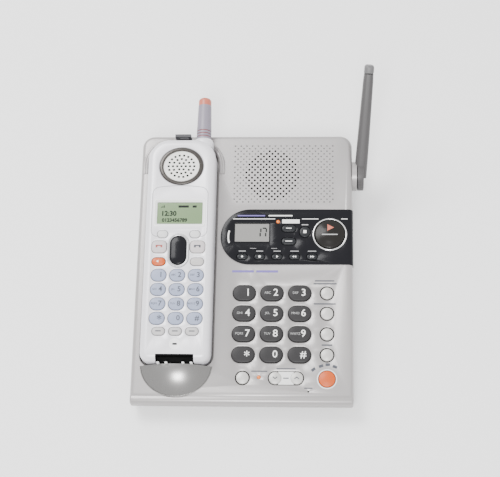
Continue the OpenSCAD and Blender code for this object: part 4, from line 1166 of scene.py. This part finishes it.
def ear_grille():
    """Toothed dark ring round a pale disc with square holes."""
    inward = [(1.0, 0.15), (1.1, -0.7), (0.25, -0.5), (0, -0.4)]
    bm = build_up(disc(EAR_RING_R, 72), [(0, 2.6), *round_in(1.3, 1.3, 4), *inward])
    for shape in bm.faces:
        middle = shape.calc_center_median()
        # Faces inside the ring are painted black: painted shade down into the earpiece.
        if math.hypot(middle.x, middle.y) < EAR_R - 0.2:
            shape.material_index = 1
    teeth = 96
    for index in range(teeth):
        turn = math.radians(360 * index / teeth)
        tooth = build_up(flat(0.9, 0.42), [(0, 0.3)])
        place = Matrix.Rotation(turn, 4, "Z") @ at(EAR_R + 0.75, 0, 3.55)
        add(bm, tooth, place, 0)
    plate = disc(EAR_R, 64)
    plate.faces.ensure_lookup_table()
    bmesh.ops.delete(plate, geom=plate.faces[:], context="FACES_ONLY")
    for ring in range(4):
        for spot in range(max(6 * ring, 1)):
            turn = math.radians(60 * spot / max(ring, 1))
            hole = build_up(flat(2.05, 2.05, 0.35, 2), [(0.1, -0.08), (0, -1.0)])
            for shape in hole.faces:
                # Hole walls and floors are painted black as painted shade.
                shape.material_index = int(min(v.co.z for v in shape.verts) < -0.2)
            join(plate, hole, Matrix.Rotation(turn, 4, "Z") @ at(3.6 * ring, 0))
    close_flat(plate)
    for shape in plate.faces:
        shape.material_index += 2
    join(bm, plate, at(0, 0, 2.75))
    for shape in bm.faces:
        if shape.material_index > 3:
            shape.material_index = 3
    place = handset(0, EAR_T, HANDSET_THICK - 3.4) @ Matrix.Diagonal((1, EAR_SQUASH, 1, 1))
    names = ("ear_bronze", "painted_shade_black", "grille_white", "painted_shade_black")
    ear = finish_piece("ear_grille", bm, place, chosen(*names), closed=False)
    return settle(ear, "handset", "ear_metal", "earpiece_grille")


def handset_display():
    """Green liquid-crystal window with a time, a row of digits and status marks."""
    bm = build_up(flat(LCD[0] - 0.2, LCD[1] - 0.2, 0.8, 3), [(0, 1.6), (0.5, 0.02)])
    add(bm, lettering("12:30", 5.8, 0.22), at(-9.2, -0.4, 1.62), 1)
    add(bm, lettering("0123456789", 4.2, 0.16), at(-4.2, -6.2, 1.62), 1)
    add(bm, bar_mark(8.6, 1.9), at(3.0, 5.9, 1.6), 1)
    add(bm, bar_mark(3.4, 1.9), at(12.2, 5.9, 1.6), 1)
    for step in range(3):
        add(bm, bar_mark(0.7, 0.9 + 0.6 * step), at(-15.5 + 1.2 * step, 5.3 + 0.3 * step, 1.6), 1)
    place = handset(0, LCD_T, HANDSET_THICK - 3.2)
    glass = finish_piece("handset_display_glass", bm, place, chosen("green_glass", "lcd_segment"))
    return settle(glass, "handset", "green_glass", "handset_display_window")


def small_cap(w, l, r, rise=PAD_RISE):
    reach = min(w / 2, l / 2, r) - 1.7
    return build_up(flat(w, l, r, 8), [(0, -CAP_LOW + rise - 1.15), *round_in(1.0, 0.85), *crown(reach, 0.3)])


def handset_keypad():
    """Silicone moulding: dial, function, soft and menu caps on one thin web."""
    pad, function, soft, menu = keypad_caps()
    bm = bmesh.new()
    shown = "123456789*0#"
    letters = ["", "ABC", "DEF", "GHI", "JKL", "MNO", "PQRS", "TUV", "WXYZ", "", "", ""]
    middle_y = HANDSET_LEN / 2
    top = -CAP_LOW + PAD_RISE - 0.04

    def spot(x, t):
        return at(x, middle_y - t)

    for index, (x, t, w, l, r) in enumerate(pad):
        add(bm, small_cap(w, l, r), spot(x, t), 0)
        shift = 2.1
        drop = -1.2 if shown[index] == "*" else 0
        size = 6.0 if shown[index] != "*" else 8.5
        add(bm, lettering(shown[index], size, 0.10), spot(x + shift, t - drop) @ at(0, 0, top), 1)
        if letters[index]:
            add(bm, lettering(letters[index], 2.1, 0.02), spot(x - 2.7, t) @ at(0, 0, top), 1)
    for x, t, w, l, r in function:
        add(bm, small_cap(w, l, r), spot(x, t), 2)
    for x, t, w, l, r in soft:
        add(bm, small_cap(w, l, r), spot(x, t), 3)
    for x, t, w, l, r in menu:
        add(bm, small_cap(w, l, r), spot(x, t), 4)
    for x in (-FUNCTION_DX, 0, FUNCTION_DX):
        add(bm, bar_mark(4.6, 0.9), spot(x, FUNCTION_T) @ at(0, 0, top), 1)
    web = build_up(flat(49, 60, 2, 3), [(0, 0.8)])
    add(bm, web, spot(0, (PAD_T + FUNCTION_T) / 2 + 0.6), 0)
    names = ("pad_blue", "grey_print", "function_grey", "soft_white", "menu_beige")
    place = handset(0, HANDSET_LEN / 2, HANDSET_THICK + CAP_LOW)
    keypad = finish_piece("keypad_caps", bm, place, chosen(*names))
    return settle(keypad, "handset_keypad_body", "pad_blue", "handset_keypad")


def receiver_mark(bm, x, y, z, slot):
    """A small receiver: a bar with a pad under each end."""
    add(bm, bar_mark(5.4, 1.0), at(x, y + 0.8, z), slot)
    for side in (-1, 1):
        add(bm, bar_mark(1.5, 1.8), at(x + side * 2.0, y, z), slot)


def hard_keys():
    top = -CAP_LOW + PAD_RISE - 0.04
    finishes = (("talk_key", ("talk_pink", "red_print"), "pad_blue"),
                ("off_key", ("talk_pink", "grey_print"), "pad_blue"),
                ("handset_speaker_key", ("orange_key", "white_print"), "orange_key"))
    for node, materials, slot in finishes:
        x, t, w, l, r = HARD_KEYS[node]
        bm = add(bmesh.new(), small_cap(w, l, r))
        add(bm, build_up(flat(w + 1.4, l + 1.4, r, 6), [(0, 0.8)]))
        add(bm, build_up(disc(2, 16), [(0, 3)]), at(0, 0, -2.5))
        if node == "handset_speaker_key":
            add(bm, arrow_mark(1.3), at(-0.6, 0, top, 180), 1)
        else:
            receiver_mark(bm, 0, 0, top, 1)
        piece = finish_piece(node + "_cap", bm, handset(x, t, HANDSET_THICK + CAP_LOW), chosen(*materials))
        settle(piece, node + "_body", slot, node)


def navigator():
    """Gloss rocker with a small arrow at each end."""
    _, t, w, l, _ = HARD_KEYS["navigator_key"]
    steps = [(0, -CAP_LOW + 0.3), *round_in(1.6, 1.0, 5), *crown(w / 2 - 2.4, 0.5, 4)]
    bm = build_up(flat(w, l, 50, 14), steps)
    top = -CAP_LOW + 1.68
    for side in (-1, 1):
        add(bm, arrow_mark(1.15), at(0, side * 8.2, top - 0.3, 90 * side), 1)
    add(bm, build_up(disc(1, 20), [(0, w + 2)]), at(-w / 2 - 1, 0, 0.4) @ rotated(90, "Y"), 0)
    place = handset(0, t, HANDSET_THICK + CAP_LOW)
    piece = finish_piece("navigator_cap", bm, place, chosen("black_gloss", "white_print"))
    return settle(piece, "navigator_body", "black_gloss", "navigator_key")


def dress_cad_nodes():
    """Gives each CAD node the finish that the record names; the handset's rear takes a lighter silver."""
    slots = {entry["node"]: entry["material_slot"] for entry in record["subparts"]}
    lighter = {"handset_rear_shell": "handset_silver", "battery_door": "handset_silver"}
    for name, node in frame["nodes"].items():
        node.data.materials.clear()
        node.data.materials.append(MATERIALS[lighter.get(name, slots[name])])


make_camera()
make_stage()
dress_cad_nodes()
base_cover()
front_lip()
cradle_rim()
cradle_dome()
charging_ribs()
base_printing()
lamp_lenses()
panel_plate()
panel_printing()
base_display()
message_ring()
dial_keys()
round_keys()
volume_rocker()
panel_keys()
base_antenna()
handset_front()
ear_grille()
handset_display()
handset_keypad()
hard_keys()
navigator()
stub_antenna()
stub_lamp()
